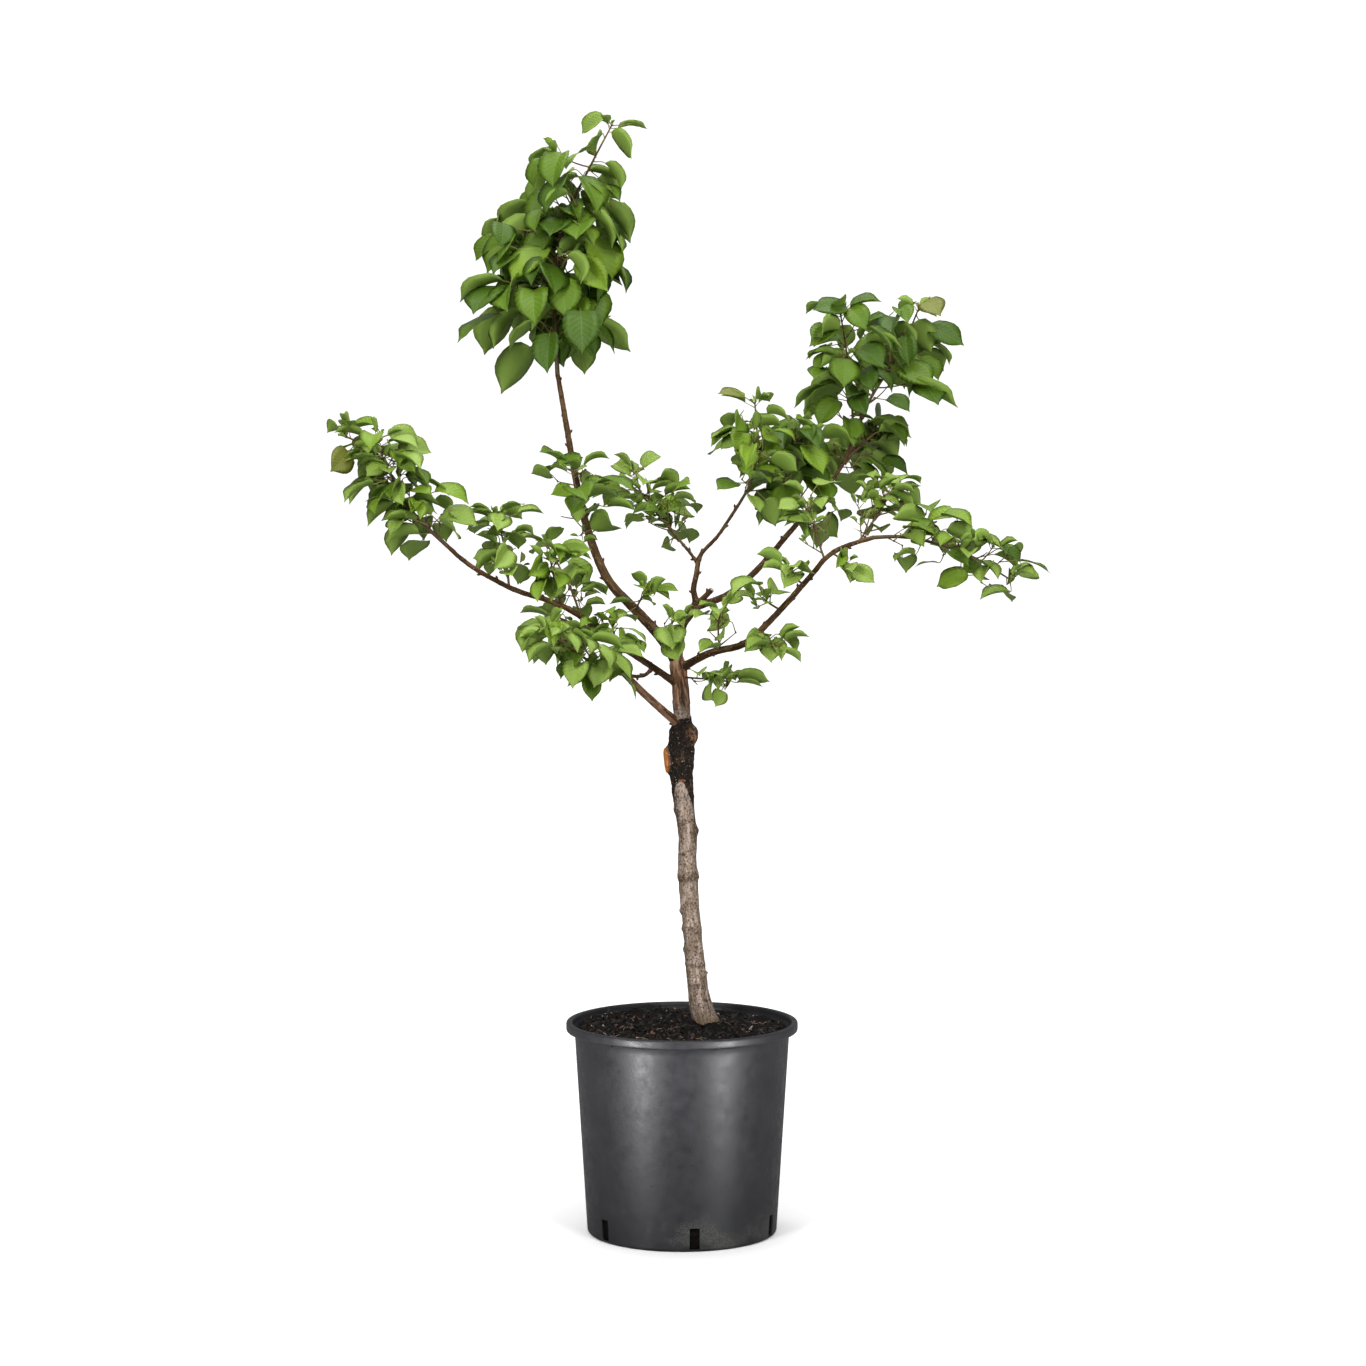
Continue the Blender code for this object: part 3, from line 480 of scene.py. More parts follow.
# Colours and nodes
def linear(code):
    """The linear colour of an sRGB hex code, at full opacity."""
    parts = [int(code[i:i + 2], 16) / 255 for i in (1, 3, 5)]
    return tuple(c / 12.92 if c <= 0.04045 else ((c + 0.055) / 1.055) ** 2.4 for c in parts) + (1.0,)


def colour(name, description, code):
    """A colour property that starts from an sRGB hex code."""
    return FloatVectorProperty(name=name, description=description, subtype="COLOR", size=4, min=0, max=1,
                               default=linear(code))


def length(name, description, millimetres):
    """A length property that starts from a size in millimetres."""
    return FloatProperty(name=name, description=description, unit="LENGTH", min=0, default=millimetres * MM)


def amount(name, description, default, **limits):
    """A plain number property that isn't below 0."""
    return FloatProperty(name=name, description=description, default=default, min=0, **limits)


# Nodes that are used often: type, inputs in the order that they are given in, settings and output
NODES = {
    "place": ("ShaderNodeTexCoord", (), {}, "Object"),
    "parts": ("ShaderNodeSeparateXYZ", (0,), {}, "Z"),
    "attribute": ("ShaderNodeAttribute", (), {}, "Fac"),
    "stretch": ("ShaderNodeMapping", ("Vector", "Scale"), {}, 0),
    "noise": ("ShaderNodeTexNoise", ("Vector", "Scale", "Detail", "Roughness"), {}, 0),
    "range": ("ShaderNodeMapRange", ("Value", "From Min", "From Max", "To Min", "To Max"), {}, 0),
    "mix": ("ShaderNodeMix", (0, 6, 7), {"data_type": "RGBA"}, 2),
    "blend": ("ShaderNodeMix", (0, 2, 3), {}, 0),
    "times": ("ShaderNodeMath", (0, 1), {"operation": "MULTIPLY"}, 0),
    "plus": ("ShaderNodeMath", (0, 1), {"operation": "ADD"}, 0),
    "maths": ("ShaderNodeMath", (0, 1), {}, 0),
    "bump": ("ShaderNodeBump", ("Height", "Distance", "Strength", "Normal"), {}, 0),
    "camera ray": ("ShaderNodeLightPath", (), {}, "Is Camera Ray"),
    "mix shader": ("ShaderNodeMixShader", (0, 1, 2), {}, 0),
    "named": ("GeometryNodeInputNamedAttribute", ("Name",), {}, 0),
    "shapes": ("GeometryNodeCollectionInfo", ("Collection", "Separate Children", "Reset Children"), {}, 0),
    "real": ("GeometryNodeRealizeInstances", ("Geometry",), {}, 0),
    "finish": ("GeometryNodeSetMaterial", ("Geometry", "Material", "Selection"), {}, 0),
}


def set_inputs(node, inputs):
    """Gives a node's inputs, by name or number, values or other nodes' outputs."""
    for key, value in inputs.items():
        if isinstance(value, bpy.types.NodeSocket):
            node.id_data.links.new(value, node.inputs[key])
        else:
            node.inputs[key].default_value = value


def add_node(tree, kind, *values, output=None, **settings):
    """Adds a node with its settings and links, and gives one of its outputs. The values are those of its
    inputs, in the order of NODES or as one dictionary."""
    kind, order, usual, first = NODES.get(kind, (kind, (), {}, 0))
    node = tree.nodes.new(kind)
    for key, value in {**usual, **settings}.items():
        setattr(node, key, value)
    by_name = values and isinstance(values[0], dict)
    set_inputs(node, values[0] if by_name else dict(zip(order, values)))
    return node.outputs[first if output is None else output] if node.outputs else None


def per(size):
    """The scale of a pattern whose lumps are about a size in millimetres across."""
    return 1 / (size * MM)


def new_material(name, base, roughness, specular=0.5, **inputs):
    """A Principled material, the function that adds nodes to it, and its shader."""
    material = bpy.data.materials.new(name)
    material.use_nodes = True
    shader = material.node_tree.nodes["Principled BSDF"]
    set_inputs(shader, {"Base Color": base, "Roughness": roughness, "Specular IOR Level": specular, **inputs})
    return material, functools.partial(add_node, material.node_tree), shader


def node_group(name, sockets):
    """A Geometry Nodes tree with named inputs, the function that adds nodes to it, and those inputs."""
    tree = bpy.data.node_groups.new(name, "GeometryNodeTree")
    for label, kind, default in (("Geometry", "Geometry", None),) + sockets:
        socket = tree.interface.new_socket(label, in_out="INPUT", socket_type="NodeSocket" + kind)
        if default is not None:
            socket.default_value = default
    tree.interface.new_socket("Geometry", in_out="OUTPUT", socket_type="NodeSocketGeometry")
    node = functools.partial(add_node, tree)
    return tree, node, tree.nodes.new("NodeGroupInput").outputs


# Meshes
def new_object(name, mesh):
    obj = bpy.data.objects.new(name, mesh)
    bpy.context.scene.collection.objects.link(obj)
    return obj


def object_from(bm, name, material=None, smooth_below=None):
    """An object of a bmesh with its faces turned outwards, smooth but for edges sharper than an angle."""
    bmesh.ops.recalc_face_normals(bm, faces=bm.faces)
    mesh = bpy.data.meshes.new(name)
    bm.to_mesh(mesh)
    bm.free()
    if smooth_below:
        mesh.shade_smooth()
        mesh.set_sharp_from_angle(angle=math.radians(smooth_below))
    if material:
        mesh.materials.append(material)
    return new_object(name, mesh)


def plain_mesh(obj):
    """Turns what an object's modifiers make into its own mesh, and removes them."""
    graph = bpy.context.evaluated_depsgraph_get()
    mesh = bpy.data.meshes.new_from_object(
        obj.evaluated_get(graph), preserve_all_data_layers=True, depsgraph=graph)
    obj.modifiers.clear()
    old, obj.data = obj.data, mesh
    bpy.data.meshes.remove(old)
    mesh.name = obj.name
    return obj


def circle(count, start=0.0):
    """The cosine and sine of each spoke of a circle."""
    turns = [start + 2 * math.pi * k / count for k in range(count)]
    return [(math.cos(turn), math.sin(turn)) for turn in turns]


def made_by(tree, name, mesh, values):
    """A plain mesh object that a node tree makes from a mesh, with the tree's inputs given by name."""
    obj = new_object(name, mesh)
    modifier = obj.modifiers.new(name, "NODES")
    modifier.node_group = tree
    for item in tree.interface.items_tree:
        if item.item_type == "SOCKET" and item.in_out == "INPUT" and item.name in values:
            modifier[item.identifier] = values[item.name]
    plain_mesh(obj)
    for label in ("axis", "face", "size", "shape", "girth"):
        layer = obj.data.attributes.get(label)
        if layer:
            obj.data.attributes.remove(layer)
    return obj


def points_with(places, edges, fields):
    """A mesh of points, and edges between them, that carries values for a node tree to read."""
    mesh = bpy.data.meshes.new("points")
    mesh.from_pydata(places, edges, [])
    for label, kind, values in fields:
        layer = mesh.attributes.new(label, kind, "POINT")
        key = "vector" if kind == "FLOAT_VECTOR" else "value"
        layer.data.foreach_set(key, np.array(values).ravel())
    return mesh


def shapes_in(name, objects):
    """A collection, outside the scene, of shapes that a node tree deals out in the order of their names."""
    shapes = bpy.data.collections.new(name)
    for obj in objects:
        bpy.context.scene.collection.objects.unlink(obj)
        shapes.objects.link(obj)
    return shapes


def clear_shapes(shapes):
    for obj in list(shapes.objects):
        bpy.data.objects.remove(obj)
    bpy.data.collections.remove(shapes)


def settle(piece, slot, *nodes):
    """Makes a finished piece ride on the part's one body, and hides the nodes that it replaces. Its slot is
    not used.
    """
    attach(piece, "root")
    if nodes:
        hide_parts(*nodes)


# Pot
POT_SEGMENTS = 180
SLOT_SEGMENTS = 3
SLOT_COUNT = 6
SLOT_TURN = math.radians(-82.5)
SLOT_LOW, SLOT_HIGH = 4, 34
WALL_FOOT, WALL_LEAN, WALL_START = 135.5, 0.0618, 5
POT_WALL = 2.2


def wall_at(z, inset=0.0):
    """Radius and height in mm of the pot's outer wall at a height, or of a point that stands in from it."""
    return (WALL_FOOT + WALL_LEAN * (z - WALL_START) - inset, z)


# Radius and height in mm: underside, rounded foot, wall, the band under the rim and the rim's outside
POT_OUTSIDE = (
    (0, 0), (124, 0), (130.5, 0), (132.41, 0.38), (134.04, 1.46), (135.12, 3.09), (135.4, SLOT_LOW),
    (135.5, 5.4), wall_at(SLOT_HIGH), wall_at(120), wall_at(200), wall_at(279), wall_at(288.4),
    (153.5, 289.3), (154.6, 289.8), (161.5, 290.0), (163.5, 290.3), (164.5, 291.1), (164.9, 292.4),
    (165, 294.2), (165, 300.2), (164.7, 301.5), (163.9, 302.5), (162.4, 303))
# The same inside, from the rim down to the middle of the floor
POT_INSIDE = (
    (158.6, 303), (157.1, 302.5), (156.2, 301.2), (155.8, 298), (154.8, 292), (151.4, 288.4), (150.8, 285),
    wall_at(279, POT_WALL), wall_at(200, POT_WALL), wall_at(120, POT_WALL), wall_at(SLOT_HIGH, POT_WALL),
    (133.3, 5.4), (132.6, SLOT_LOW), (131.3, POT_WALL), (0, POT_WALL))


def pot_plastic(looks):
    """Charcoal polypropylene, injection moulded: a low sheen, a fine grain and dusty scuffs near the foot."""
    material, node, shader = new_material(
        "moulded_charcoal_polypropylene", looks.plastic, 0.48, 0.3, IOR=1.49)
    place = node("place")
    # Blotches 60 mm wide where the mould cooled unevenly, and 0.8 mm specks of grit in the recycled plastic
    blotch = node("range", node("noise", place, per(60), 3), 0.35, 0.65, 0.85, 1.18)
    specks = node("range", node("noise", place, per(0.8), 1), 0.66, 0.78, 0.0, 0.4)
    # Dust on the lowest 60 mm, in patches 45 mm wide of specks 1.6 mm wide
    low = node("range", node("parts", place), 25 * MM, 65 * MM, 1.0, 0.0)
    patch = node("range", node("noise", place, per(45), 2), 0.5, 0.62)
    dots = node("range", node("noise", place, per(1.6), 3, 0.7), 0.5, 0.62, 0.12, 1.0)
    dust = node("times", low, node("times", patch, dots))
    base = node("mix", 1.0, looks.plastic, blotch, blend_type="MULTIPLY")
    base = node("mix", specks, base, looks.grit)
    base = node("mix", node("times", dust, 0.26), base, looks.dust)
    rough = node("range", node("noise", place, per(16), 4, 0.6), 0.32, 0.68, 0.36, 0.55)
    # The mould's fine grain, drawn at 0.9 mm because the real 0.3 mm is too fine to show
    ripple = node("bump", node("noise", place, per(18), 3), 0.45 * MM, 0.7)
    grain = node("bump", node("noise", place, per(0.9), 2), 0.03 * MM, 0.5, ripple)
    set_inputs(shader, {
        "Base Color": base, "Roughness": node("plus", rough, node("times", dust, 0.3)), "Normal": grain})
    return material


def slotted(level, segment, profile):
    """Whether a wall's cell, between a profile point and the next, is part of a drainage slot."""
    heights = (profile[level][1], profile[level + 1][1])
    inside = min(heights) >= SLOT_LOW and max(heights) <= SLOT_HIGH
    return inside and segment % (POT_SEGMENTS // SLOT_COUNT) < SLOT_SEGMENTS


def build_pot(looks):
    """The pot's shell: both walls turned round its axis, joined at the rim and round each drainage slot."""
    bm = bmesh.new()
    spokes = circle(POT_SEGMENTS, SLOT_TURN - SLOT_SEGMENTS * math.pi / POT_SEGMENTS)
    walls = []
    for profile in (POT_OUTSIDE, POT_INSIDE):
        wall = []
        for r, z in profile:
            # The middle of the floor is one point, and stands for every spoke
            count = POT_SEGMENTS if r else 1
            ring = [bm.verts.new((r * c * MM, r * s * MM, z * MM)) for c, s in spokes[:count]]
            wall.append(ring * (POT_SEGMENTS // count))
        for i in range(len(wall) - 1):
            for k in range(POT_SEGMENTS):
                if not slotted(i, k, profile):
                    after = (k + 1) % POT_SEGMENTS
                    corners = (wall[i][k], wall[i][after], wall[i + 1][after], wall[i + 1][k])
                    bm.faces.new(list(dict.fromkeys(corners)))
        walls.append(wall)
    outside, inside = walls
    for k in range(POT_SEGMENTS):
        bm.faces.new((outside[-1][k - 1], outside[-1][k], inside[0][k], inside[0][k - 1]))
    outer, inner = ([i for i, (_, z) in enumerate(profile) if SLOT_LOW <= z <= SLOT_HIGH]
                    for profile in (POT_OUTSIDE, POT_INSIDE))
    inner.reverse()
    for slot in range(SLOT_COUNT):
        first = slot * POT_SEGMENTS // SLOT_COUNT
        last = first + SLOT_SEGMENTS
        edge = [(outer[0], inner[0], k) for k in range(first, last)]
        edge += [(o, i, last) for o, i in zip(outer, inner)][:-1]
        edge += [(outer[-1], inner[-1], k) for k in range(last, first, -1)]
        edge += [(o, i, first) for o, i in zip(outer[::-1], inner[::-1])][:-1]
        for (o, i, k), (o2, i2, k2) in zip(edge, edge[1:] + edge[:1]):
            bm.faces.new((outside[o][k], outside[o2][k2], inside[i2][k2], inside[i][k]))
    pot = object_from(bm, "pot_shell", pot_plastic(looks), 50)
    settle(pot, "pot", "pot")


# Compost
BED_RADIUS = 149.6
BED_RINGS, BED_SPOKES = 44, 150
# Rings of the root ball under the surface: height in mm, and how far it stands in from the pot's inner wall
BALL_RINGS = ((250, 0.9), (150, 0.9), (60, 0.9), (34, 0.9), (6, 0.9), (3, 3.6))
# Crumbs and hollows of the surface: height in mm and breadth in metres
BED_LUMPS = ((3.2, 0.021), (2.6, 0.009), (1.8, 0.004))
# A flake: how many shapes there are, the corners of each, their seed and half its length, width and thickness
CHIP_SHAPES, CHIP_CORNERS, CHIP_SEED = 6, 11, 4100
CHIP_HALF = (0.5, 0.19, 0.09)
CHIP_LEAST = 3.5 * MM
CHIP_TILT = 0.8
# Small flakes are commoner than large ones by this power
CHIP_POWER = 1.4
# Flakes of each colour: names of its light and dark, share of the count, greatest length in mm and seed
CHIPS = (("dark", "chip_dark", "ground", 1.0, 22, 11), ("brown", "chip_brown", "chip_dark", 0.2, 19, 12),
         ("rust", "chip_rust", "chip_brown", 0.04, 14, 13), ("pale", "chip_pale", "chip_brown", 0.05, 15, 14))
# Fine roots: seed, count, places in metres with the spread round each, step along a root, rise and radius
ROOT_SEED, ROOT_COUNT, ROOT_SPREAD, ROOT_STEP = 77, 9, 0.04, 6 * MM
ROOT_PLACES = ((0.07, -0.04), (0.09, 0.03), (0.03, -0.07), (-0.05, -0.05))
ROOT_RISE, ROOT_DIP, ROOT_RADIUS = 2.2 * MM, -2.0 * MM, 0.3 * MM


def compost_ground(looks):
    """Composted bark and peat, damp: near black, matt, in crumbs of 1 to 6 mm."""
    material, node, shader = new_material("damp_bark_compost", looks.ground, 0.95, 0.12)
    place = node("place")
    crumbs = node("range", node("noise", place, per(5), 5, 0.6), 0.35, 0.68)
    coarse = node("bump", node("noise", place, per(6), 4, 0.6), 2.5 * MM, 1.0)
    fine = node("bump", node("noise", place, per(1.6), 3), 0.9 * MM, 1.0, coarse)
    set_inputs(shader, {"Base Color": node("mix", crumbs, looks.ground, looks.crumb), "Normal": fine})
    return material


def chip_bark(name, base, dark):
    """A flake of composted pine bark: layered, matt, streaked along its length every 3.5 mm."""
    material, node, shader = new_material(name, base, 0.7, 0.3)
    place = node("place")
    streaks = node("noise", node("stretch", place, (1, 1, 2.5)), per(3.5), 4, 0.6)
    base = node("mix", node("range", streaks, 0.35, 0.65), dark, base)
    crumbs = node("bump", node("noise", place, per(1.5), 3), 0.6 * MM, 1.0)
    set_inputs(shader, {"Base Color": base, "Normal": crumbs})
    return material


def bed_height(x, y):
    """The height of the compost: crumbs and hollows, a mound at the trunk's foot, and lower by the wall."""
    place = Vector((x, y, 0))
    lumps = sum(high * noise.noise(place / wide) for high, wide in BED_LUMPS)
    mound = 7.0 * math.exp(-((math.dist((x, y), TRUNK_FOOT[:2]) / 0.034) ** 2))
    # The bed sinks over the last seventh of its radius, more in front, and is banked up at the back
    sink = (5.0 if y < 0 else 1.5) * max(0.0, math.hypot(x, y) / (BED_RADIUS * MM) - 0.86) / 0.14
    bank = 6.0 * min(1.0, max(0.0, y / 0.12)) * (0.75 - 2.5 * x)
    return SOIL_LEVEL + (lumps + mound + bank - sink - 1.5) * MM


def bed_surface(bm):
    """The bed's top, as rings of points from its middle to its edge."""
    middle = bm.verts.new((0, 0, bed_height(0, 0)))
    rings = []
    for i in range(1, BED_RINGS + 1):
        r = BED_RADIUS * MM * i / BED_RINGS
        spots = [(r * c, r * s) for c, s in circle(BED_SPOKES)]
        rings.append([bm.verts.new((x, y, bed_height(x, y))) for x, y in spots])
    for k in range(BED_SPOKES):
        bm.faces.new((middle, rings[0][k - 1], rings[0][k]))
        for low, high in zip(rings, rings[1:]):
            bm.faces.new((low[k - 1], high[k - 1], high[k], low[k]))
    return rings[-1]


def chip_shape(index):
    """One flake: the hull of a few points in a flat box, a unit long."""
    rng = random.Random(CHIP_SEED + index)
    bm = bmesh.new()
    for _ in range(CHIP_CORNERS):
        bm.verts.new(tuple(rng.uniform(-half, half) for half in CHIP_HALF))
    hull = bmesh.ops.convex_hull(bm, input=bm.verts)
    spare = hull["geom_interior"] + hull["geom_unused"]
    inside = {item for item in spare if isinstance(item, bmesh.types.BMVert)}
    bmesh.ops.delete(bm, geom=list(inside), context="VERTS")
    return object_from(bm, "chip_%d" % index)


def scattered_chips():
    """Node tree: flakes lie at every turn over a surface, between a least and a greatest length."""
    tree, node, given = node_group("scattered bark chips", (
        ("Chips", "Collection", None), ("Bark", "Material", None), ("Per square metre", "Float", 1000.0),
        ("Least", "Float", 0.004), ("Greatest", "Float", 0.02), ("Seed", "Int", 0)))
    spots = node("GeometryNodeDistributePointsOnFaces", {
        "Mesh": given["Geometry"], "Density": given["Per square metre"], "Seed": given["Seed"]})
    pick = node("FunctionNodeRandomValue", {4: 0, 5: CHIP_SHAPES - 1, "Seed": 1}, data_type="INT", output=2)
    turn = node("FunctionNodeRandomValue", {
        0: (-CHIP_TILT, -CHIP_TILT, 0.0), 1: (CHIP_TILT, CHIP_TILT, 2 * math.pi), "Seed": 2},
        data_type="FLOAT_VECTOR")
    share = node("FunctionNodeRandomValue", {2: 0.0, 3: 1.0, "Seed": 3}, data_type="FLOAT", output=1)
    size = node("ShaderNodeMapRange", {
        "Value": node("maths", share, CHIP_POWER, operation="POWER"), "To Min": given["Least"],
        "To Max": given["Greatest"]})
    chips = node("GeometryNodeInstanceOnPoints", {
        "Points": spots, "Instance": node("shapes", given["Chips"], True, True), "Pick Instance": True,
        "Instance Index": pick, "Rotation": turn, "Scale": size})
    node("NodeGroupOutput", {"Geometry": node("finish", node("real", chips), given["Bark"])})
    return tree


def build_compost(looks):
    """The root ball and compost in the pot, with flakes of bark and a few fine roots on top."""
    bm = bmesh.new()
    bed_surface(bm)
    top = bpy.data.meshes.new("bed_top")
    bm.normal_update()
    bm.to_mesh(top)
    bm.free()

    bm = bmesh.new()
    edge = bed_surface(bm)
    for z, inset in BALL_RINGS:
        r = wall_at(z, POT_WALL + inset)[0] * MM
        ring = [bm.verts.new((r * c, r * s, z * MM)) for c, s in circle(BED_SPOKES)]
        for k in range(BED_SPOKES):
            bm.faces.new((edge[k - 1], ring[k - 1], ring[k], edge[k]))
        edge = ring
    bm.faces.new(edge)
    bed = object_from(bm, "compost_bed", compost_ground(looks), 60)
    settle(bed, "compost", "soil")

    tree = scattered_chips()
    shapes = shapes_in("chip_shapes", [chip_shape(i) for i in range(CHIP_SHAPES)])
    for kind, light, dark, share, greatest, seed in CHIPS:
        bark = chip_bark("pine_chips_" + kind, getattr(looks, light), getattr(looks, dark))
        chips = made_by(tree, "chips_" + kind, top.copy(), {
            "Chips": shapes, "Bark": bark, "Per square metre": share * looks.chips_per_square_metre,
            "Least": CHIP_LEAST, "Greatest": greatest * MM, "Seed": seed})
        settle(chips, "compost")
    clear_shapes(shapes)
    bpy.data.meshes.remove(top)
    settle(fine_roots(looks), "compost")


def fine_roots(looks):
    """Pale root hairs that lie on the compost, each a thin bent line that dips under at its ends."""
    rng = random.Random(ROOT_SEED)
    lines = []
    for _ in range(ROOT_COUNT):
        x, y = (at + rng.uniform(-ROOT_SPREAD, ROOT_SPREAD) for at in rng.choice(ROOT_PLACES))
        bearing, steps = rng.uniform(0, 2 * math.pi), rng.randint(5, 8)
        line = []
        for k in range(steps):
            lift = ROOT_RISE if 0 < k < steps - 1 else ROOT_DIP
            line.append((x, y, bed_height(x, y) + lift))
            bearing += rng.uniform(-0.6, 0.6)
            x, y = x + ROOT_STEP * math.cos(bearing), y + ROOT_STEP * math.sin(bearing)
        lines.append((line, [ROOT_RADIUS] * steps))
    root = new_material("pale_root_hair", looks.root, 0.8)[0]
    return shoots_from("fine_roots", lines, 4, root)


# Wood
TRUNK_SPOKES, BOUGH_SPOKES = 22, 14
RING_STEP = 5 * MM
BURIED = 12 * MM
# Domes of the tips: how far out each ring stands and how wide it is, as shares of the tip's radius
TIP_DOME = ((0.45, 0.85), (0.75, 0.45))
# Growth rings, where each year's shoot began: height, swelling and breadth in mm, and darkness
TRUNK_RINGS = (
    (322, 0.4, 3, 0.3), (381, 0.7, 3, 0.45), (402, 0.3, 3, 0.2), (432, 0.9, 5, 0.6), (470, 0.3, 3, 0.2),
    (509, 1.3, 8, 0.62), (548, 0.4, 3, 0.3), (590, 0.4, 3, 0.4), (623, 0.5, 3, 0.4), (758, 0.6, 3, 0.5))
# Knobs and shoot scars: bearing from +X in degrees, then height, swelling and breadth in mm
TRUNK_KNOBS = (
    (0, 574, 3.4, 6), (180, 458, 2.8, 5), (176, 402, 2.0, 5), (-4, 368, 2.4, 2.2), (184, 604, 2.2, 6),
    (-95, 350, 1.0, 6), (-70, 492, 1.2, 4), (-120, 541, 1.2, 5), (-60, 428, 1.4, 4), (-62, 572, 1.0, 4),
    (-122, 604, 1.6, 4), (150, 690, 2.4, 9), (-140, 752, 2.0, 7), (95, 470, 1.8, 5), (60, 640, 2.0, 6),
    (-60, 330, 1.2, 5), (-84, 396, 1.0, 3), (-75, 407, 0.8, 3))
# The knuckle of the old stock, cut off above the graft: bearing, height, swelling and breadth
KNUCKLE = (-22, 712, 5.0, 13)
# Heights in mm that the grafting paint covers, and its drips: bearing, length in mm and half width in radians
PAINT_SPAN = (646, 735)
PAINT_DRIPS = ((-36, 36, 0.5), (192, 35, 0.55), (60, 20, 0.7))
# A chip in the paint's lower edge: bearing, height, half width and half height
PAINT_CHIP = (-93, 647.5, 4.5, 1.5)
# The healing wound at the graft's side: bearing, height, half width, half height and swelling, in mm
WOUND = (197, 676, 7.5, 19, 6.5)
NODE_STEP = 24 * MM
# Bulge in mm of a bough at its foot and at each bud, and how wide each is
BOUGH_BULGE, FOOT_BREADTH, BUD_BREADTH = 1.1, 9 * MM, 3 * MM
# Added to the relief all over the wood
SKIN_LIFT = 0.15 * MM
# How young, red, painted, callused, cut, scarred (with painted shade down the trunk's sides) and knuckled
# each point of the wood is
WOOD_FINISHES = ("young", "ruddy", "paint", "callus", "cut", "scar", "knuckle")


def framed(line):
    """A line as rows of point, two cross directions kept from twisting, and heading."""
    points = [Vector(p) for p in line]
    ways = [(b - a).normalized() for a, b in zip(points, points[1:])]
    across = ways[0].orthogonal().normalized()
    rows = []
    for i, point in enumerate(points):
        way = (ways[max(i - 1, 0)] + ways[min(i, len(ways) - 1)]).normalized()
        across = (across - across.dot(way) * way).normalized()
        rows.append((point, across, way.cross(across), way))
    return rows


def line_length(line):
    return sum(math.dist(a, b) for a, b in zip(line, line[1:]))


def limb_skin(bm, name, line):
    """A limb's round skin: the trunk goes down into the compost, and every tip but a cut one is domed."""
    count = max(4, round(line_length(line) / RING_STEP))
    shares = [i / count for i in range(count + 1)]
    points = [place_on(line, share)[0] for share in shares]
    radii = [limb_radius(name, share) for share in shares]
    if name == "trunk":
        points.insert(0, add(points[0], (0, 0, -1), BURIED))
        radii.insert(0, radii[0] * 1.05)
    if name != "cut_stub":
        tip, way = place_on(line, 1.0)
        for out, share in TIP_DOME:
            points.append(add(tip, way, out * radii[len(shares) - 1]))
            radii.append(share * limb_radius(name, 1.0))
    spokes = circle(TRUNK_SPOKES if name == "trunk" else BOUGH_SPOKES)
    rings = [[bm.verts.new(p + r * (c * a + s * o)) for c, s in spokes]
             for (p, a, o, _), r in zip(framed(points), radii)]
    for low, high in zip(rings, rings[1:]):
        for k in range(len(spokes)):
            bm.faces.new((low[k - 1], low[k], high[k], high[k - 1]))
    bm.faces.new(rings[0][::-1])
    bm.faces.new(rings[-1])


def found_on_limbs(places, limbs):
    """For each place the limb whose skin is nearest: its number, and the place round and along it."""
    best = np.full(len(places), np.inf)
    owner = np.zeros(len(places), int)
    grain = np.zeros((len(places), 3))
    share = np.zeros(len(places))
    each = np.arange(len(places))
    for number, (name, line) in enumerate(limbs.items()):
        rows = framed(line)
        point, across, other = (np.array([row[i] for row in rows]) for i in range(3))
        step = np.diff(point, axis=0)
        lengths = np.concatenate([[0], np.cumsum(np.linalg.norm(step, axis=1))])
        k = np.clip(((places[:, None] - point[:-1]) * step).sum(-1) / (step ** 2).sum(-1), 0, 1)
        away = np.linalg.norm(places[:, None] - (point[:-1] + k[..., None] * step), axis=-1)
        span = away.argmin(1)
        t, near = k[each, span], away[each, span]
        along = lengths[span] + t * (lengths[span + 1] - lengths[span])
        part = along / lengths[-1]
        off = near - np.array([limb_radius(name, s) for s in part])
        mine = off < best
        from_line = places - (point[span] + t[:, None] * step[span])
        turn_in = across[span] + t[:, None] * (across[span + 1] - across[span])
        turn_on = other[span] + t[:, None] * (other[span + 1] - other[span])
        best[mine], owner[mine], share[mine] = off[mine], number, part[mine]
        grain[mine] = np.stack([(from_line * turn_in).sum(1), (from_line * turn_on).sum(1), along], 1)[mine]
    return owner, share, grain


def node_places(name, line):
    """The buds' places along a bough, winding up it: share, and turn about its heading."""
    span = line_length(line)
    rng = random.Random(name)
    count = max(2, int(span / NODE_STEP))
    spin = rng.uniform(0, 2 * math.pi)
    places = []
    for i in range(count):
        spin += GOLDEN_TURN
        places.append(((i + 0.6 + rng.uniform(-0.15, 0.15)) / count, spin))
    return places


def noise_at(places, size):
    return np.array([noise.noise(Vector(p)) for p in places / size])


def hump(distance, breadth):
    return np.exp(-((distance / breadth) ** 2))


def turn_from(turn, start):
    """A turn as measured from another, in radians from -pi to pi."""
    return (turn - start + math.pi) % (2 * math.pi) - math.pi


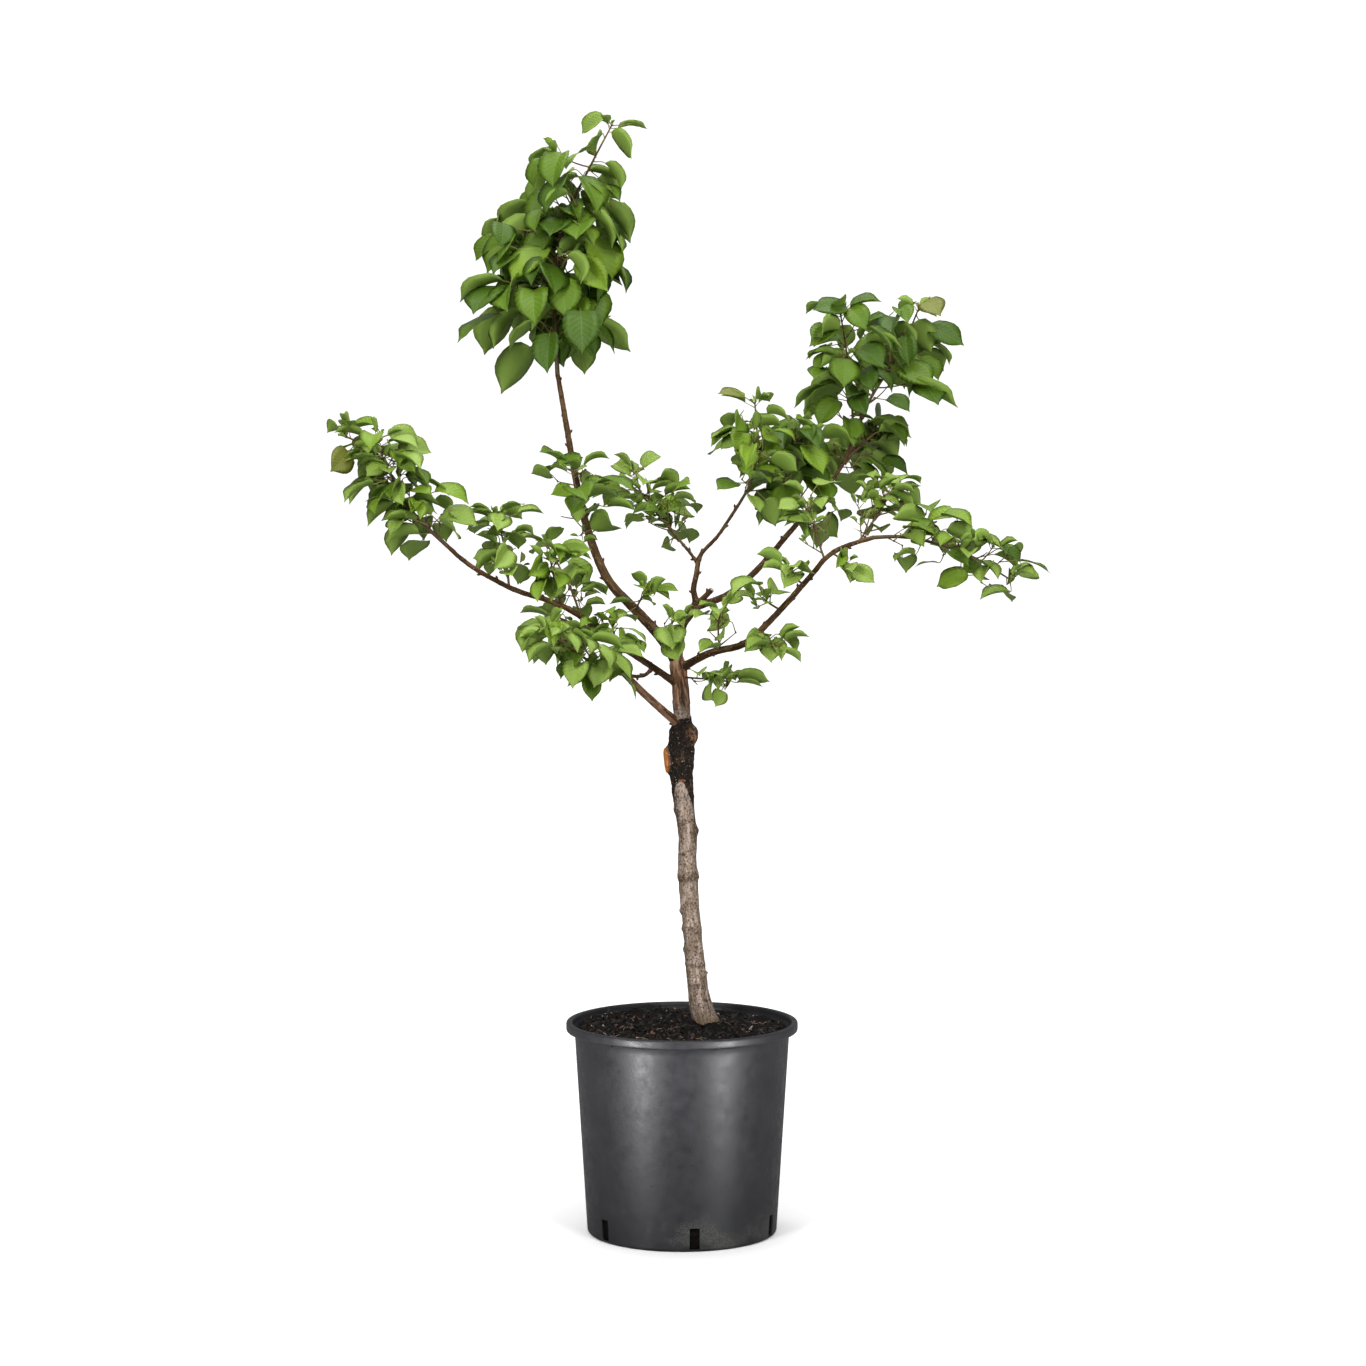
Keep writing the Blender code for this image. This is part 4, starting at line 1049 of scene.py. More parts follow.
def wood_fields(places, limbs):
    """The relief in metres and the finish of every point of the wood."""
    owner, share, grain = found_on_limbs(places, limbs)
    names = list(limbs)
    trunk = owner == names.index("trunk")
    z = places[:, 2]
    line = np.array(limbs["trunk"])
    centre = np.stack([np.interp(z, line[:, 2], line[:, i]) for i in (0, 1)], 1)
    out = places[:, :2] - centre
    around = np.arctan2(out[:, 1], out[:, 0])
    radius = np.hypot(out[:, 0], out[:, 1])
    broad, patchy, coat, rough, grit, crumb = (
        noise_at(places, size * MM) for size in (30, 16, 13, 9, 5, 3.2))

    def from_spot(bearing, height):
        """How far each place is round and up from a spot on the trunk, in metres."""
        return turn_from(around, np.radians(bearing)) * radius, z - height * MM

    relief = np.where(trunk, 1.1 * broad + 0.5 * rough + 0.22 * crumb, 0.35 * rough + 0.18 * crumb)
    # The lowest 42 mm of the trunk are buttressed by the roots
    foot = np.clip((SOIL_LEVEL + 42 * MM - z) / (42 * MM), 0, 1) ** 1.5 * trunk
    relief += foot * (0.9 * np.cos(4 * around + 0.6) + 0.4 * np.cos(7 * around))
    uneven = np.clip(1 + 1.2 * patchy, 0.2, 2)
    scar = np.zeros(len(places))
    for height, swelling, breadth, dark in TRUNK_RINGS:
        ring = hump(z + 1.5 * MM * broad - height * MM, breadth * MM) * uneven
        relief += trunk * ring * swelling * (1 + 0.5 * crumb)
        scar = np.maximum(scar, trunk * ring * dark)
    for bearing, height, swelling, breadth in TRUNK_KNOBS:
        knob = hump(np.hypot(*from_spot(bearing, height)), breadth * MM)
        relief += trunk * swelling * knob
        scar = np.maximum(scar, 0.9 * trunk * np.clip(2.2 * knob - 0.9, 0, 1))

    # The paint's edges wander, and its drips run down from the lower one
    low, high = (height * MM for height in PAINT_SPAN)
    drips = np.max([drop * hump(turn_from(around, np.radians(bearing)), half)
                    for bearing, drop, half in PAINT_DRIPS], axis=0)
    low = low - drips * MM + 4 * MM * rough + 3 * MM * broad
    high = high + 6 * MM * rough - 5 * MM * broad
    paint = trunk * np.clip((z - low) / MM, 0, 1) * np.clip((high - z) / MM, 0, 1)

    def spread(bearing, height, half_width, half_height):
        """How far each place is from the middle of an oval on the trunk, where 1 is its rim."""
        sideways_off, up = from_spot(bearing, height)
        return np.hypot(sideways_off / (half_width * MM), up / (half_height * MM))

    wound = spread(*WOUND[:4]) + 0.12 * crumb
    callus = trunk * np.clip((1.05 - wound) / 0.5, 0, 1)
    callus = np.maximum(callus, trunk * np.clip(1.0 - spread(*PAINT_CHIP) + 1.6 * crumb, 0, 0.24))
    paint *= 1 - np.clip(4 * callus, 0, 1)
    relief += paint * (0.5 + 1.5 * coat + 0.6 * grit)
    bearing, height, swelling, breadth = KNUCKLE
    knuckle = trunk * hump(np.hypot(*from_spot(bearing, height)) ** 2, (breadth * MM) ** 2)
    relief += swelling * knuckle
    relief += trunk * WOUND[-1] * np.clip((1.12 - wound) / 0.3, 0, 1) ** 0.7

    for number, name in enumerate(names):
        mine = owner == number
        if name == "trunk" or not mine.any():
            continue
        span = line_length(limbs[name])
        relief += mine * BOUGH_BULGE * hump(grain[:, 2], FOOT_BREADTH)
        for at, spin in node_places(name, limbs[name]):
            spoke = turn_from(np.arctan2(grain[:, 1], grain[:, 0]), spin)
            off = np.hypot(spoke * limb_radius(name, at), grain[:, 2] - at * span)
            relief += mine * BOUGH_BULGE * hump(off, BUD_BREADTH)
    young = np.where(trunk, np.clip((share - 0.84) / 0.1 + 0.5 * broad, 0, 0.8), 1.0)
    # The fork and the foot of the lowest bough are redder and split along the wood
    low_left = (owner == names.index("low_left_bough")) * np.clip(1.1 - 1.3 * share, 0, 0.8)
    ruddy = np.where(trunk, np.clip((z - 738 * MM) / (30 * MM) + 0.6 * broad, 0, 0.9), low_left)
    # Painted shade round the trunk's sides under the graft, with an unshaded band down its front, which faces
    # the light
    front = turn_from(around, np.radians(-90 + 24 * rough + 14 * crumb))
    painted_side_shade = np.clip(1.3 - 1.6 * hump(front, 0.8), 0, 1)
    painted_side_shade *= np.clip((z - 470 * MM) / (90 * MM), 0.3, 1) * np.clip((672 * MM - z) / (12 * MM), 0, 1)
    scar = np.maximum(scar, trunk * painted_side_shade * np.clip(0.9 + broad, 0.4, 1))
    end = line_length(limbs["cut_stub"])
    stub = owner == names.index("cut_stub")
    cut = stub * np.clip((grain[:, 2] - end + 0.8 * MM) / (0.5 * MM), 0, 1)
    finishes = dict(zip(WOOD_FINISHES, (young, ruddy, paint, callus, cut, scar, knuckle)))
    return relief * MM, {"grain": grain, **finishes}


def tree_bark(looks):
    """Apricot bark: grey-brown and smooth on the trunk, red-brown and satin on the young boughs, with pale
    corky dots, growth rings, tar-black grafting paint and an orange callus."""
    material, node, shader = new_material("apricot_bark", looks.old_bark, 0.75, 0.22)
    place = node("attribute", attribute_name="grain", output="Vector")
    young, ruddy, paint, callus, cut, scar, knuckle = (
        node("attribute", attribute_name=name) for name in WOOD_FINISHES)
    height = node("parts", node("place"))
    # Blotches 25 mm wide, streaks 6 mm wide along the wood, wrinkles 3 mm apart across it, 2 mm flecks,
    # cracks 8 mm apart, thin paint in patches 9 mm wide and ridges 2 mm wide
    blotch, streak, wrinkle, fleck, crack, thin, ridge = (
        node("noise", node("stretch", place, shape), per(size), detail, roughness)
        for size, detail, roughness, shape in (
            (25, 4, 0.6, (1, 1, 0.6)), (6, 3, 0.6, (1, 1, 0.22)), (6, 4, 0.62, (0.3, 0.3, 2.2)),
            (2.6, 4, 0.7, (1, 1, 0.7)), (8, 4, 0.65, (1, 1, 0.16)), (9, 4, 0.7, (1, 1, 0.5)),
            (2.2, 4, 0.5, (1, 1, 0.35))))
    blotch = node("range", blotch, 0.36, 0.64)
    streak = node("range", streak, 0.46, 0.62, 0.0, 0.8)
    crack = node("range", crack, 0.53, 0.59, 0.0, 0.85)
    thin = node("range", thin, 0.56, 0.66, 0.0, 0.7)
    # Splashed compost stains the lowest 60 mm, and the lowest 16 mm are dark with it
    splash = node("times", node("range", height, SOIL_LEVEL, SOIL_LEVEL + 60 * MM, 0.85, 0.0), blotch)
    stain = node("range", height, SOIL_LEVEL + 3 * MM, SOIL_LEVEL + 16 * MM, 0.75, 0.0)
    # Rings and shoot scars are rough and dark, with pale specks left between, and the same dark flecks paint
    # shade down the trunk's sides
    dark_ring_and_side_shade = node("times", scar, node("range", fleck, 0.36, 0.5, 0.25, 0.95))
    old = looks.old_bark_shade
    for factor, over in (
            (node("range", blotch, 0.0, 1.0, 0.45, 1.0), looks.old_bark), (streak, looks.old_bark_light),
            # Smoother and paler from 300 mm up the trunk
            (node("range", height, 585 * MM, 625 * MM, 0.0, 0.4), looks.old_bark_light),
            (node("range", wrinkle, 0.56, 0.72, 0.0, 0.3), looks.old_bark_shade),
            (node("range", fleck, 0.5, 0.6, 0.0, 0.9), looks.old_bark_fleck),
            (splash, looks.stained_bark), (stain, looks.stained_bark), (dark_ring_and_side_shade, looks.old_bark_fleck)):
        old = node("mix", factor, old, over)
    new = node("mix", blotch, looks.young_bark_shade, looks.young_bark)
    new = node("mix", node("times", streak, 0.7), new, looks.young_bark_light)
    # Split bark of the fork
    split = node("mix", blotch, looks.fork_bark_shade, looks.fork_bark)
    split = node("mix", streak, split, looks.fork_bark_light)
    split = node("mix", crack, split, looks.young_bark_shade)
    # Lenticels: corky dots about 1.5 mm across, 7 mm apart
    cells = node("ShaderNodeTexVoronoi", {
        "Vector": node("stretch", place, (1, 1, 1.7)), "Scale": per(7), "Randomness": 1.0})
    dots = node("range", cells, 0.1, 0.2, 0.7, 0.0)
    # Grafting paint, worn off in specks about 1.5 mm across and over the top of the knuckle
    specks = node("range", node("noise", place, per(3.4), 4, 0.7), 0.63, 0.66)
    worn = node("range", node("noise", place, per(5), 5, 0.75), 0.46, 0.58, 0.0, 0.7)
    tar = looks.grafting_paint
    for factor, over in (
            (node("range", fleck, 0.52, 0.64, 0.0, 0.55), looks.worn_paint), (thin, looks.worn_paint),
            (specks, looks.paint_speck), (node("times", knuckle, worn), looks.fork_bark)):
        tar = node("mix", factor, tar, over)
    light = node("range", node("noise", place, per(4), 3), 0.4, 0.65)
    orange = node("mix", light, looks.callus, looks.callus_light)
    orange = node("mix", node("range", callus, 0.15, 0.5), looks.callus_rim, orange)
    base = old
    for factor, over in (
            (young, new), (ruddy, split), (dots, looks.lenticel), (paint, tar),
            (node("range", callus, 0.05, 0.2), orange), (cut, looks.cut_wood)):
        base = node("mix", factor, base, over)
    rough = node("range", blotch, 0.0, 1.0, 0.82, 0.7)
    for factor, roughness in ((young, 0.66), (paint, 0.72)):
        rough = node("blend", factor, rough, roughness)
    coarse = node("bump", wrinkle, 1.1 * MM, 0.8)
    fine = node("bump", ridge, 0.5 * MM, 0.7, coarse)
    corky = node("bump", dots, 0.35 * MM, 1.0, fine)
    set_inputs(shader, {"Base Color": base, "Roughness": rough, "Normal": corky})
    return material


def build_wood(looks):
    """The trunk and boughs as one skin, melted together at their collars and then given their relief."""
    limbs, _ = tree_lines()
    bm = bmesh.new()
    for name, line in limbs.items():
        limb_skin(bm, name, line)
    wood = object_from(bm, "wood")
    melt = wood.modifiers.new("melt", "REMESH")
    melt.mode, melt.voxel_size, melt.use_smooth_shade = "VOXEL", looks.skin_mesh, True
    ease = wood.modifiers.new("ease", "SMOOTH")
    ease.factor, ease.iterations = 0.5, 3
    plain_mesh(wood)
    mesh = wood.data
    places = np.empty(len(mesh.vertices) * 3)
    mesh.vertices.foreach_get("co", places)
    places = places.reshape(-1, 3)
    normals = np.empty(len(places) * 3)
    mesh.vertex_normals.foreach_get("vector", normals)
    relief, fields = wood_fields(places, limbs)
    places = places + normals.reshape(-1, 3) * (relief + SKIN_LIFT)[:, None]
    mesh.vertices.foreach_set("co", places.ravel())
    for label, values in fields.items():
        vector = values.ndim == 2
        layer = mesh.attributes.new(label, "FLOAT_VECTOR" if vector else "FLOAT", "POINT")
        layer.data.foreach_set("vector" if vector else "value", values.astype(np.float32).ravel())
    mesh.update()
    mesh.shade_smooth()
    mesh.materials.clear()
    mesh.materials.append(tree_bark(looks))
    settle(wood, "bark", *limbs)


# Foliage
TINTS = ("deep", "mid", "fresh", "light", "bronze")
# Share of a blade's length, and of its half width, along its margin from the stalk to the drip tip
MARGIN_ROWS = (
    (0, 0.11), (0.035, 0.50), (0.12, 0.80), (0.25, 0.98), (0.39, 1.0), (0.53, 0.91), (0.67, 0.71),
    (0.8, 0.43), (0.91, 0.15), (1, 0.015))
# Width of a shape as a share of its length
LEAF_PROPORTION = 0.79
RIB_HALF, INNER_SHARE = 0.02, 0.55
BLADE_DEPTH, RIB_GROOVE = 0.011, 0.005
RIB_PALENESS = 0.16
VEIN_SLANT, VEIN_COUNT, VEIN_RISE = 0.14, 9, 0.42
# Puckers between the veins, and the margin's waves: radians from stalk to tip, and each side's start
PUCKER, MARGIN_WAVE, WAVE_STARTS = 0.0075, 9.5, (0.4, 1.9)
# Fold along the midrib, arch from stalk to tip and twist in degrees, and the wave as a share of length
LEAF_SHAPES = (
    (14, 30, 4, 0.012), (30, 42, -7, 0.018), (22, 62, 8, 0.022), (36, 20, -4, 0.014), (8, 48, -10, 0.03),
    (26, 75, 5, 0.02), (44, 36, 9, 0.014))
YOUNG_SHAPES = ((58, 20, 6, 0.01), (46, -14, -8, 0.012), (66, 35, 3, 0.008))
# Young leaves at a shoot's tip: length in mm from the oldest to the youngest, how many, and how narrow
YOUNG_BLADE, YOUNG_LEAVES, YOUNG_BREADTH = (30, 11), 4, 0.8
YOUNG_SHARE = 0.22
YOUNG_SEED = 5000
SIDE_ROOM = 6 * MM
YOUNG_DROOP = -35
# Masses whose shoots open olive-brown leaves, and how far back from the tip these leaves are still young
BRONZE_TIPS = ("left_crown", "right_high_crown", "centre_right_crown", "right_high_side")
YOUNG_WOOD = 110 * MM
# How light the leaves of each group of masses are, from deep to light green, and how sprays and leaves vary
LIGHTNESS = (
    ("leader_crown", 0.27), ("leader", 0.52), ("left_crown", 0.71), ("left", 0.76), ("front", 0.8),
    ("low", 0.8), ("back", 0.54), ("centre", 0.62), ("right_high", 0.27), ("right_back", 0.34),
    ("right_low_crown", 0.6), ("right_low", 0.8), ("right_spur", 0.95), ("right", 0.8), ("collar", 0.85))
SPRAY_SPREAD, LEAF_SPREAD = 0.16, 0.07
# Radii in mm along a leaf stalk, from inside the twig to inside the blade
STALK_RADII = (1.0, 0.85, 0.85, 0.72, 0.72, 0.72, 0.45)
YOUNG_STALK_RADII = (0.7, 0.7, 0.7, 0.5, 0.5, 0.5, 0.3)
# Length, width and depth in metres of the buds where a leaf stands and along the boughs
LEAF_BUD, BOUGH_BUD = (0.0032, 0.0034, 0.0034), (0.0042, 0.0046, 0.0046)
BUD_SIDES = 6
TWIG_SHARES = (0.0, 0.2, 0.4, 0.6, 0.8, 1.0)


def rotated(a, b, angle):
    """Two coordinates turned by an angle about the third axis."""
    return a * math.cos(angle) - b * math.sin(angle), a * math.sin(angle) + b * math.cos(angle)


def leaf_shape(name, fold, arch, twist, wave, rows):
    """One closed blade, a unit long: folded along its midrib, puckered by its veins, arched and twisted."""
    fold, arch, twist = (math.radians(angle) for angle in (fold, arch, twist))
    columns = (-1, -INNER_SHARE, -RIB_HALF, RIB_HALF, INNER_SHARE, 1)
    lower = (-INNER_SHARE, 0, INNER_SHARE)

    def place(i, column, lift):
        x, half = rows[i]
        y = max(-0.6 * half, min(0.6 * half, column)) if abs(column) == RIB_HALF else column * half
        across = abs(y)
        x += VEIN_SLANT * across * math.sin(math.pi * x)
        z = PUCKER * (-1) ** i * math.sin(math.pi * min(across, 1)) * (half > 0.3)
        z += wave * across ** 2 * math.sin(MARGIN_WAVE * x + WAVE_STARTS[y > 0])
        if abs(column) == RIB_HALF:
            z -= RIB_GROOVE * min(1, 3 * half)
        y *= LEAF_PROPORTION / 2
        y, z = y * math.cos(fold), abs(y) * math.sin(fold) + z + lift
        y, z = rotated(y, z, twist * x)
        bend = arch * x
        x, z = math.sin(bend) / arch + z * math.sin(bend), z * math.cos(bend) - (1 - math.cos(bend)) / arch
        x, z = rotated(x, z, arch / 2)
        return (x, y, z)

    points, uvs, faces, finishes = [], [], [], []
    count, wide = len(rows), len(columns)
    for columns_of_side, depth in ((columns, 0.0), (lower, BLADE_DEPTH)):
        for i, (along, half) in enumerate(rows):
            for column in columns_of_side:
                points.append(place(i, column, -depth * min(1, 3 * half)))
                uvs.append((0.5 + 0.5 * column, along))

    def under(i):
        start = count * wide + i * len(lower)
        return [i * wide, start, start + 1, start + 2, i * wide + wide - 1]

    for i in range(count - 1):
        for k in range(wide - 1):
            a = i * wide + k
            faces.append((a, a + wide, a + wide + 1, a + 1))
            finishes.append("vein" if k == wide // 2 - 1 else "")
        for a, b, c, d in zip(under(i), under(i)[1:], under(i + 1)[1:], under(i + 1)):
            faces.append((a, b, c, d))
            finishes.append("underneath")
    for i in (0, count - 1):
        faces.append((*range(i * wide, i * wide + wide), *under(i)[-2:0:-1]))
        finishes.append("")
    mesh = bpy.data.meshes.new(name)
    mesh.from_pydata(points, [], faces)
    for label in ("vein", "underneath"):
        marked = [finish == label for finish in finishes]
        mesh.attributes.new(label, "BOOLEAN", "FACE").data.foreach_set("value", marked)
    layer = mesh.uv_layers.new(name="blade")
    for loop in mesh.loops:
        layer.data[loop.index].uv = uvs[loop.vertex_index]
    bm = bmesh.new()
    bm.from_mesh(mesh)
    bmesh.ops.recalc_face_normals(bm, faces=bm.faces)
    bm.to_mesh(mesh)
    bm.free()
    mesh.shade_smooth()
    return new_object(name, mesh)


def bud_shape(name):
    """A pointed bud, a unit long, of four rings."""
    bm = bmesh.new()
    rings = [[bm.verts.new((x, r * c, r * s)) for c, s in circle(BUD_SIDES)]
             for x, r in ((-0.3, 0.3), (0.1, 0.42), (0.6, 0.28), (1, 0.05))]
    for low, high in zip(rings, rings[1:]):
        for k in range(BUD_SIDES):
            bm.faces.new((low[k - 1], low[k], high[k], high[k - 1]))
    bm.faces.new(rings[0])
    bm.faces.new(rings[-1])
    return object_from(bm, name, smooth_below=80)


def placed_shapes():
    """Node tree: a shape stands at each point, turned and sized as the point says, in three finishes."""
    tree, node, given = node_group("placed shapes", (
        ("Shapes", "Collection", None), ("Main", "Material", None), ("Rib", "Material", None),
        ("Underside", "Material", None)))
    axis, face, size = (node("named", label, data_type="FLOAT_VECTOR") for label in ("axis", "face", "size"))
    turn = node("FunctionNodeAxesToRotation", {0: axis, 1: face}, primary_axis="X", secondary_axis="Z")
    placed = node("GeometryNodeInstanceOnPoints", {
        "Points": given["Geometry"], "Instance": node("shapes", given["Shapes"], True, True),
        "Pick Instance": True, "Instance Index": node("named", "shape", data_type="INT"), "Rotation": turn,
        "Scale": size})
    made = node("finish", node("real", placed), given["Main"])
    for label, name in (("vein", "Rib"), ("underneath", "Underside")):
        made = node("finish", made, given[name], node("named", label, data_type="BOOLEAN"))
    node("NodeGroupOutput", {"Geometry": made})
    return tree


def round_shoots():
    """Node tree: every chain of edges gets a round skin, as thick as its points say, closed at both ends."""
    tree, node, given = node_group("round shoots", (("Sides", "Int", 6), ("Bark", "Material", None)))
    ring = node("GeometryNodeCurvePrimitiveCircle", {
        "Resolution": given["Sides"], "Radius": 1.0}, mode="RADIUS")
    skin = node("GeometryNodeCurveToMesh", {
        "Curve": node("GeometryNodeMeshToCurve", {"Mesh": given["Geometry"]}), "Profile Curve": ring,
        "Scale": node("named", "girth", data_type="FLOAT"), "Fill Caps": True})
    smooth = node("GeometryNodeSetShadeSmooth", {"Geometry": skin})
    node("NodeGroupOutput", {"Geometry": node("finish", node("real", smooth), given["Bark"])})
    return tree


def shoots_from(name, lines, sides, material):
    """One mesh object of round shoots, from lines given as their points and their radii."""
    places, edges, girths = [], [], []
    for line, radii in lines:
        edges += [(k, k + 1) for k in range(len(places), len(places) + len(line) - 1)]
        places += line
        girths += radii
    mesh = points_with(places, edges, (("girth", "FLOAT", girths),))
    return made_by(round_shoots(), name, mesh, {"Sides": sides, "Bark": material})


def bowed(start, end, share):
    """A place on a twig, which sags a little between its ends."""
    span = math.dist(start, end)
    sag = 0.05 * span * 4 * share * (1 - share) if span > 30 * MM else 0.0
    return add(add(start, add(end, start, -1), share), (0, 0, -1), sag)


def stalk_line(root, leaf, arch):
    """A leaf stalk's line: it leaves the twig on the stalk's heading and meets the blade on the blade's."""
    neck, span = leaf["neck"], math.dist(leaf["root"], leaf["neck"])
    half = math.radians(arch) / 2
    start_of_blade = add(tuple(math.cos(half) * x for x in leaf["axis"]), leaf["face"], math.sin(half))
    first = add(root, leaf["stalk"], 0.4 * span)
    second = add(neck, start_of_blade, -0.32 * span)
    line = [add(root, leaf["stalk"], -0.8 * MM)]
    for t in (0.0, 0.25, 0.5, 0.75, 1.0):
        s = 1 - t
        weights = (s ** 3, 3 * s * s * t, 3 * s * t * t, t ** 3)
        corners = zip(root, first, second, neck)
        line.append(tuple(sum(w * x for w, x in zip(weights, column)) for column in corners))
    line.append(add(add(neck, start_of_blade, 0.09 * leaf["length"]), leaf["face"], -0.35 * MM))
    return line


def inside_box(point):
    """Whether a point keeps to the solids' box, give or take a little."""
    return all(low - SIDE_ROOM < x < high + SIDE_ROOM for x, low, high in zip(point, *CAD_BOX))


class Growth:
    """Everything that grows from the masses' stems, as lines with radii and as placed shapes."""

    def __init__(self):
        self.limbs, self.stems, grown_masses = whole_tree()
        self.room = Room(self.limbs, self.stems)
        self.stem_lines, self.twig_lines, self.stalk_lines, self.buds = [], [], [], []
        self.leaves, self.young = ({tint: [] for tint in TINTS} for _ in range(2))
        for name, (twigs, leaves) in grown_masses.items():
            self.dress(name, twigs, leaves)
        self.bud_boughs()

    def dress(self, name, twigs, leaves):
        """Gives one mass its stem, twigs and leaves, each spray of its own lightness."""
        stem, mass = self.stems[name], MASSES[name]
        rng = random.Random(mass["seed"] + YOUNG_SEED)
        light = next(value for start, value in LIGHTNESS if name.startswith(start))
        self.stem_lines.append(self.stem_with_root(stem, mass))
        for start, end in twigs:
            self.add_twig(start, end)
        sprays = {}
        for leaf in leaves:
            spray = leaf["twig"]
            if spray not in sprays:
                sprays[spray] = light + rng.gauss(0, SPRAY_SPREAD)
            young = name.endswith("crown") and not spray and math.dist(leaf["root"], stem[-1]) < YOUNG_WOOD
            tint = ("bronze" if name in BRONZE_TIPS else "light") if young else None
            self.add_leaf(leaf, spray, sprays[spray] + rng.gauss(0, LEAF_SPREAD), tint, rng)
        self.young_tip(name, *place_on(stem, 1.0), light, rng)
        for start, end in twigs:
            if rng.random() < YOUNG_SHARE:
                self.young_tip(name, end, unit(add(end, start, -1)), light, rng)

    def stem_with_root(self, stem, mass):
        """A stem's line, started a little way back inside its bough, and its radii."""
        root, tip = (radius * MM for radius in mass["girth"])
        host = self.limbs[mass["host"]]
        lead = [add(stem[0], place_on(host, mass["at"])[1], -5 * MM)] if mass["at"] == 1.0 else []
        radii = [between((root, tip), i / (len(stem) - 1)) for i in range(len(stem))]
        return lead + list(stem), [0.95 * root] * len(lead) + radii

    def add_twig(self, start, end):
        """A twig that starts inside its stem and is thicker where it is longer."""
        line = [add(start, unit(add(end, start, -1)), -1.5 * MM)]
        line += [bowed(start, end, share) for share in TWIG_SHARES]
        thick = min(1.6, 0.95 + 6 * math.dist(start, end)) * MM
        self.twig_lines.append((line, [1.1 * thick] + [thick * (1 - 0.42 * share) for share in TWIG_SHARES]))

    def place_leaf(self, dealt, root, leaf, arch, width, number, radii):
        """Puts a leaf among those of its tint, on its stalk."""
        self.stalk_lines.append((stalk_line(root, leaf, arch), [radius * MM for radius in radii]))
        size = (leaf["length"], width * leaf["width"] / LEAF_PROPORTION, leaf["length"])
        dealt.append((leaf["neck"], leaf["axis"], leaf["face"], size, number))

    def add_leaf(self, leaf, spray, lightness, young, rng):
        """One full leaf, with the bud at its stalk's foot, where both keep to the solids' box."""
        root = leaf["root"]
        if spray:
            start, end = spray
            root = bowed(start, end, math.dist(start, root) / math.dist(start, end))
        number = rng.randrange(len(LEAF_SHAPES))
        if not all(inside_box(on_leaf(leaf, *spot)) for spot in ((1.0, 0.0), (0.5, 1.0), (0.5, -1.0))):
            return
        dealt = self.leaves[young or TINTS[max(0, min(3, int(lightness * 4)))]]
        self.place_leaf(dealt, root, leaf, LEAF_SHAPES[number][1], 1.0, number, STALK_RADII)
        self.buds.append((root, unit(add(leaf["stalk"], (0, 0, 1), 0.6)), leaf["face"], LEAF_BUD, 0))

    def young_tip(self, name, tip, way, light, rng):
        """The small folded leaves that are opening at a shoot's tip."""
        turn = rng.uniform(0, 2 * math.pi)
        bronze = rng.random() < (0.9 if name in BRONZE_TIPS else 0.3)
        reach = MASSES[name]["reach"] * MM
        for k in range(YOUNG_LEAVES):
            turn += GOLDEN_TURN
            blade = between(YOUNG_BLADE, k / (YOUNG_LEAVES - 1)) * rng.uniform(0.8, 1.2) * MM
            leaf = new_leaf(add(tip, way, -1.5 * MM * (YOUNG_LEAVES - k)), way, turn, blade, YOUNG_DROOP, rng)
            number = rng.randrange(len(YOUNG_SHAPES))
            held = self.room.holds(leaf_marks(leaf), leaf_cover(leaf), name, reach)
            if held and inside_box(on_leaf(leaf, 1.0, 0.0)):
                tint = "bronze" if bronze and k > 0 else "light" if light > 0.4 or k > 1 else "fresh"
                self.place_leaf(self.young[tint], leaf["root"], leaf, YOUNG_SHAPES[number][1], YOUNG_BREADTH,
                                number, YOUNG_STALK_RADII)

    def bud_boughs(self):
        """The buds that wind up the boughs."""
        for name, line in self.limbs.items():
            if name == "trunk":
                continue
            rows = framed(line)
            for share, spin in node_places(name, line):
                place, way = place_on(line, share)
                place, along = Vector(place), Vector(way)
                _, across, other, _ = min(rows, key=lambda row: (row[0] - place).length)
                out = math.cos(spin) * across + math.sin(spin) * other
                out = (out - out.dot(along) * along).normalized()
                root = place + (limb_radius(name, share) + 0.6 * MM) * out
                self.buds.append((tuple(root), unit(add(tuple(out), way, 1.1)), way, BOUGH_BUD, 0))


def point_fields(rows):
    """The places of placed shapes, and what the node tree reads at each."""
    places, axes, faces, sizes, numbers = (list(column) for column in zip(*rows))
    return points_with(places, [], (
        ("axis", "FLOAT_VECTOR", axes), ("face", "FLOAT_VECTOR", faces), ("size", "FLOAT_VECTOR", sizes),
        ("shape", "INT", numbers)))


def leaf_blade(name, base, gloss, veined):
    """The upper face of a leaf: a waxy skin, raised between its side veins, which stand about 5 mm apart."""
    material, node, shader = new_material(name, base, gloss, 0.3, IOR=1.45)
    if veined:
        blade = node("ShaderNodeUVMap", uv_map="blade")
        across, along = (node("parts", blade, output=axis) for axis in "XY")
        off_rib = node("maths", node("maths", across, 0.5, operation="SUBTRACT"), operation="ABSOLUTE")
        along = node("maths", along, node("times", off_rib, VEIN_RISE), operation="SUBTRACT")
        waves = node("maths", node("times", along, 2 * math.pi * VEIN_COUNT), operation="SINE")
        set_inputs(shader, {"Normal": node("bump", node("range", waves, 0.2, 1.0), 0.35 * MM, 0.8)})
    return material


def plain_skin(name, base, roughness):
    """A plain waxy plant skin, too narrow or too far under a leaf to show a pattern."""
    return new_material(name, base, roughness, 0.4, IOR=1.45)[0]


def shoot_bark(name, base, shade, roughness):
    """Bark of this year's shoots, red-brown above and green in the shade, in patches 14 mm wide."""
    material, node, shader = new_material(name, base, roughness, 0.4)
    place = node("place")
    patch = node("range", node("noise", place, per(14), 3), 0.4, 0.6)
    grain = node("bump", node("noise", place, per(2), 3), 0.3 * MM, 0.6)
    set_inputs(shader, {"Base Color": node("mix", patch, shade, base), "Normal": grain})
    return material


@functools.cache
def growth():
    return Growth()


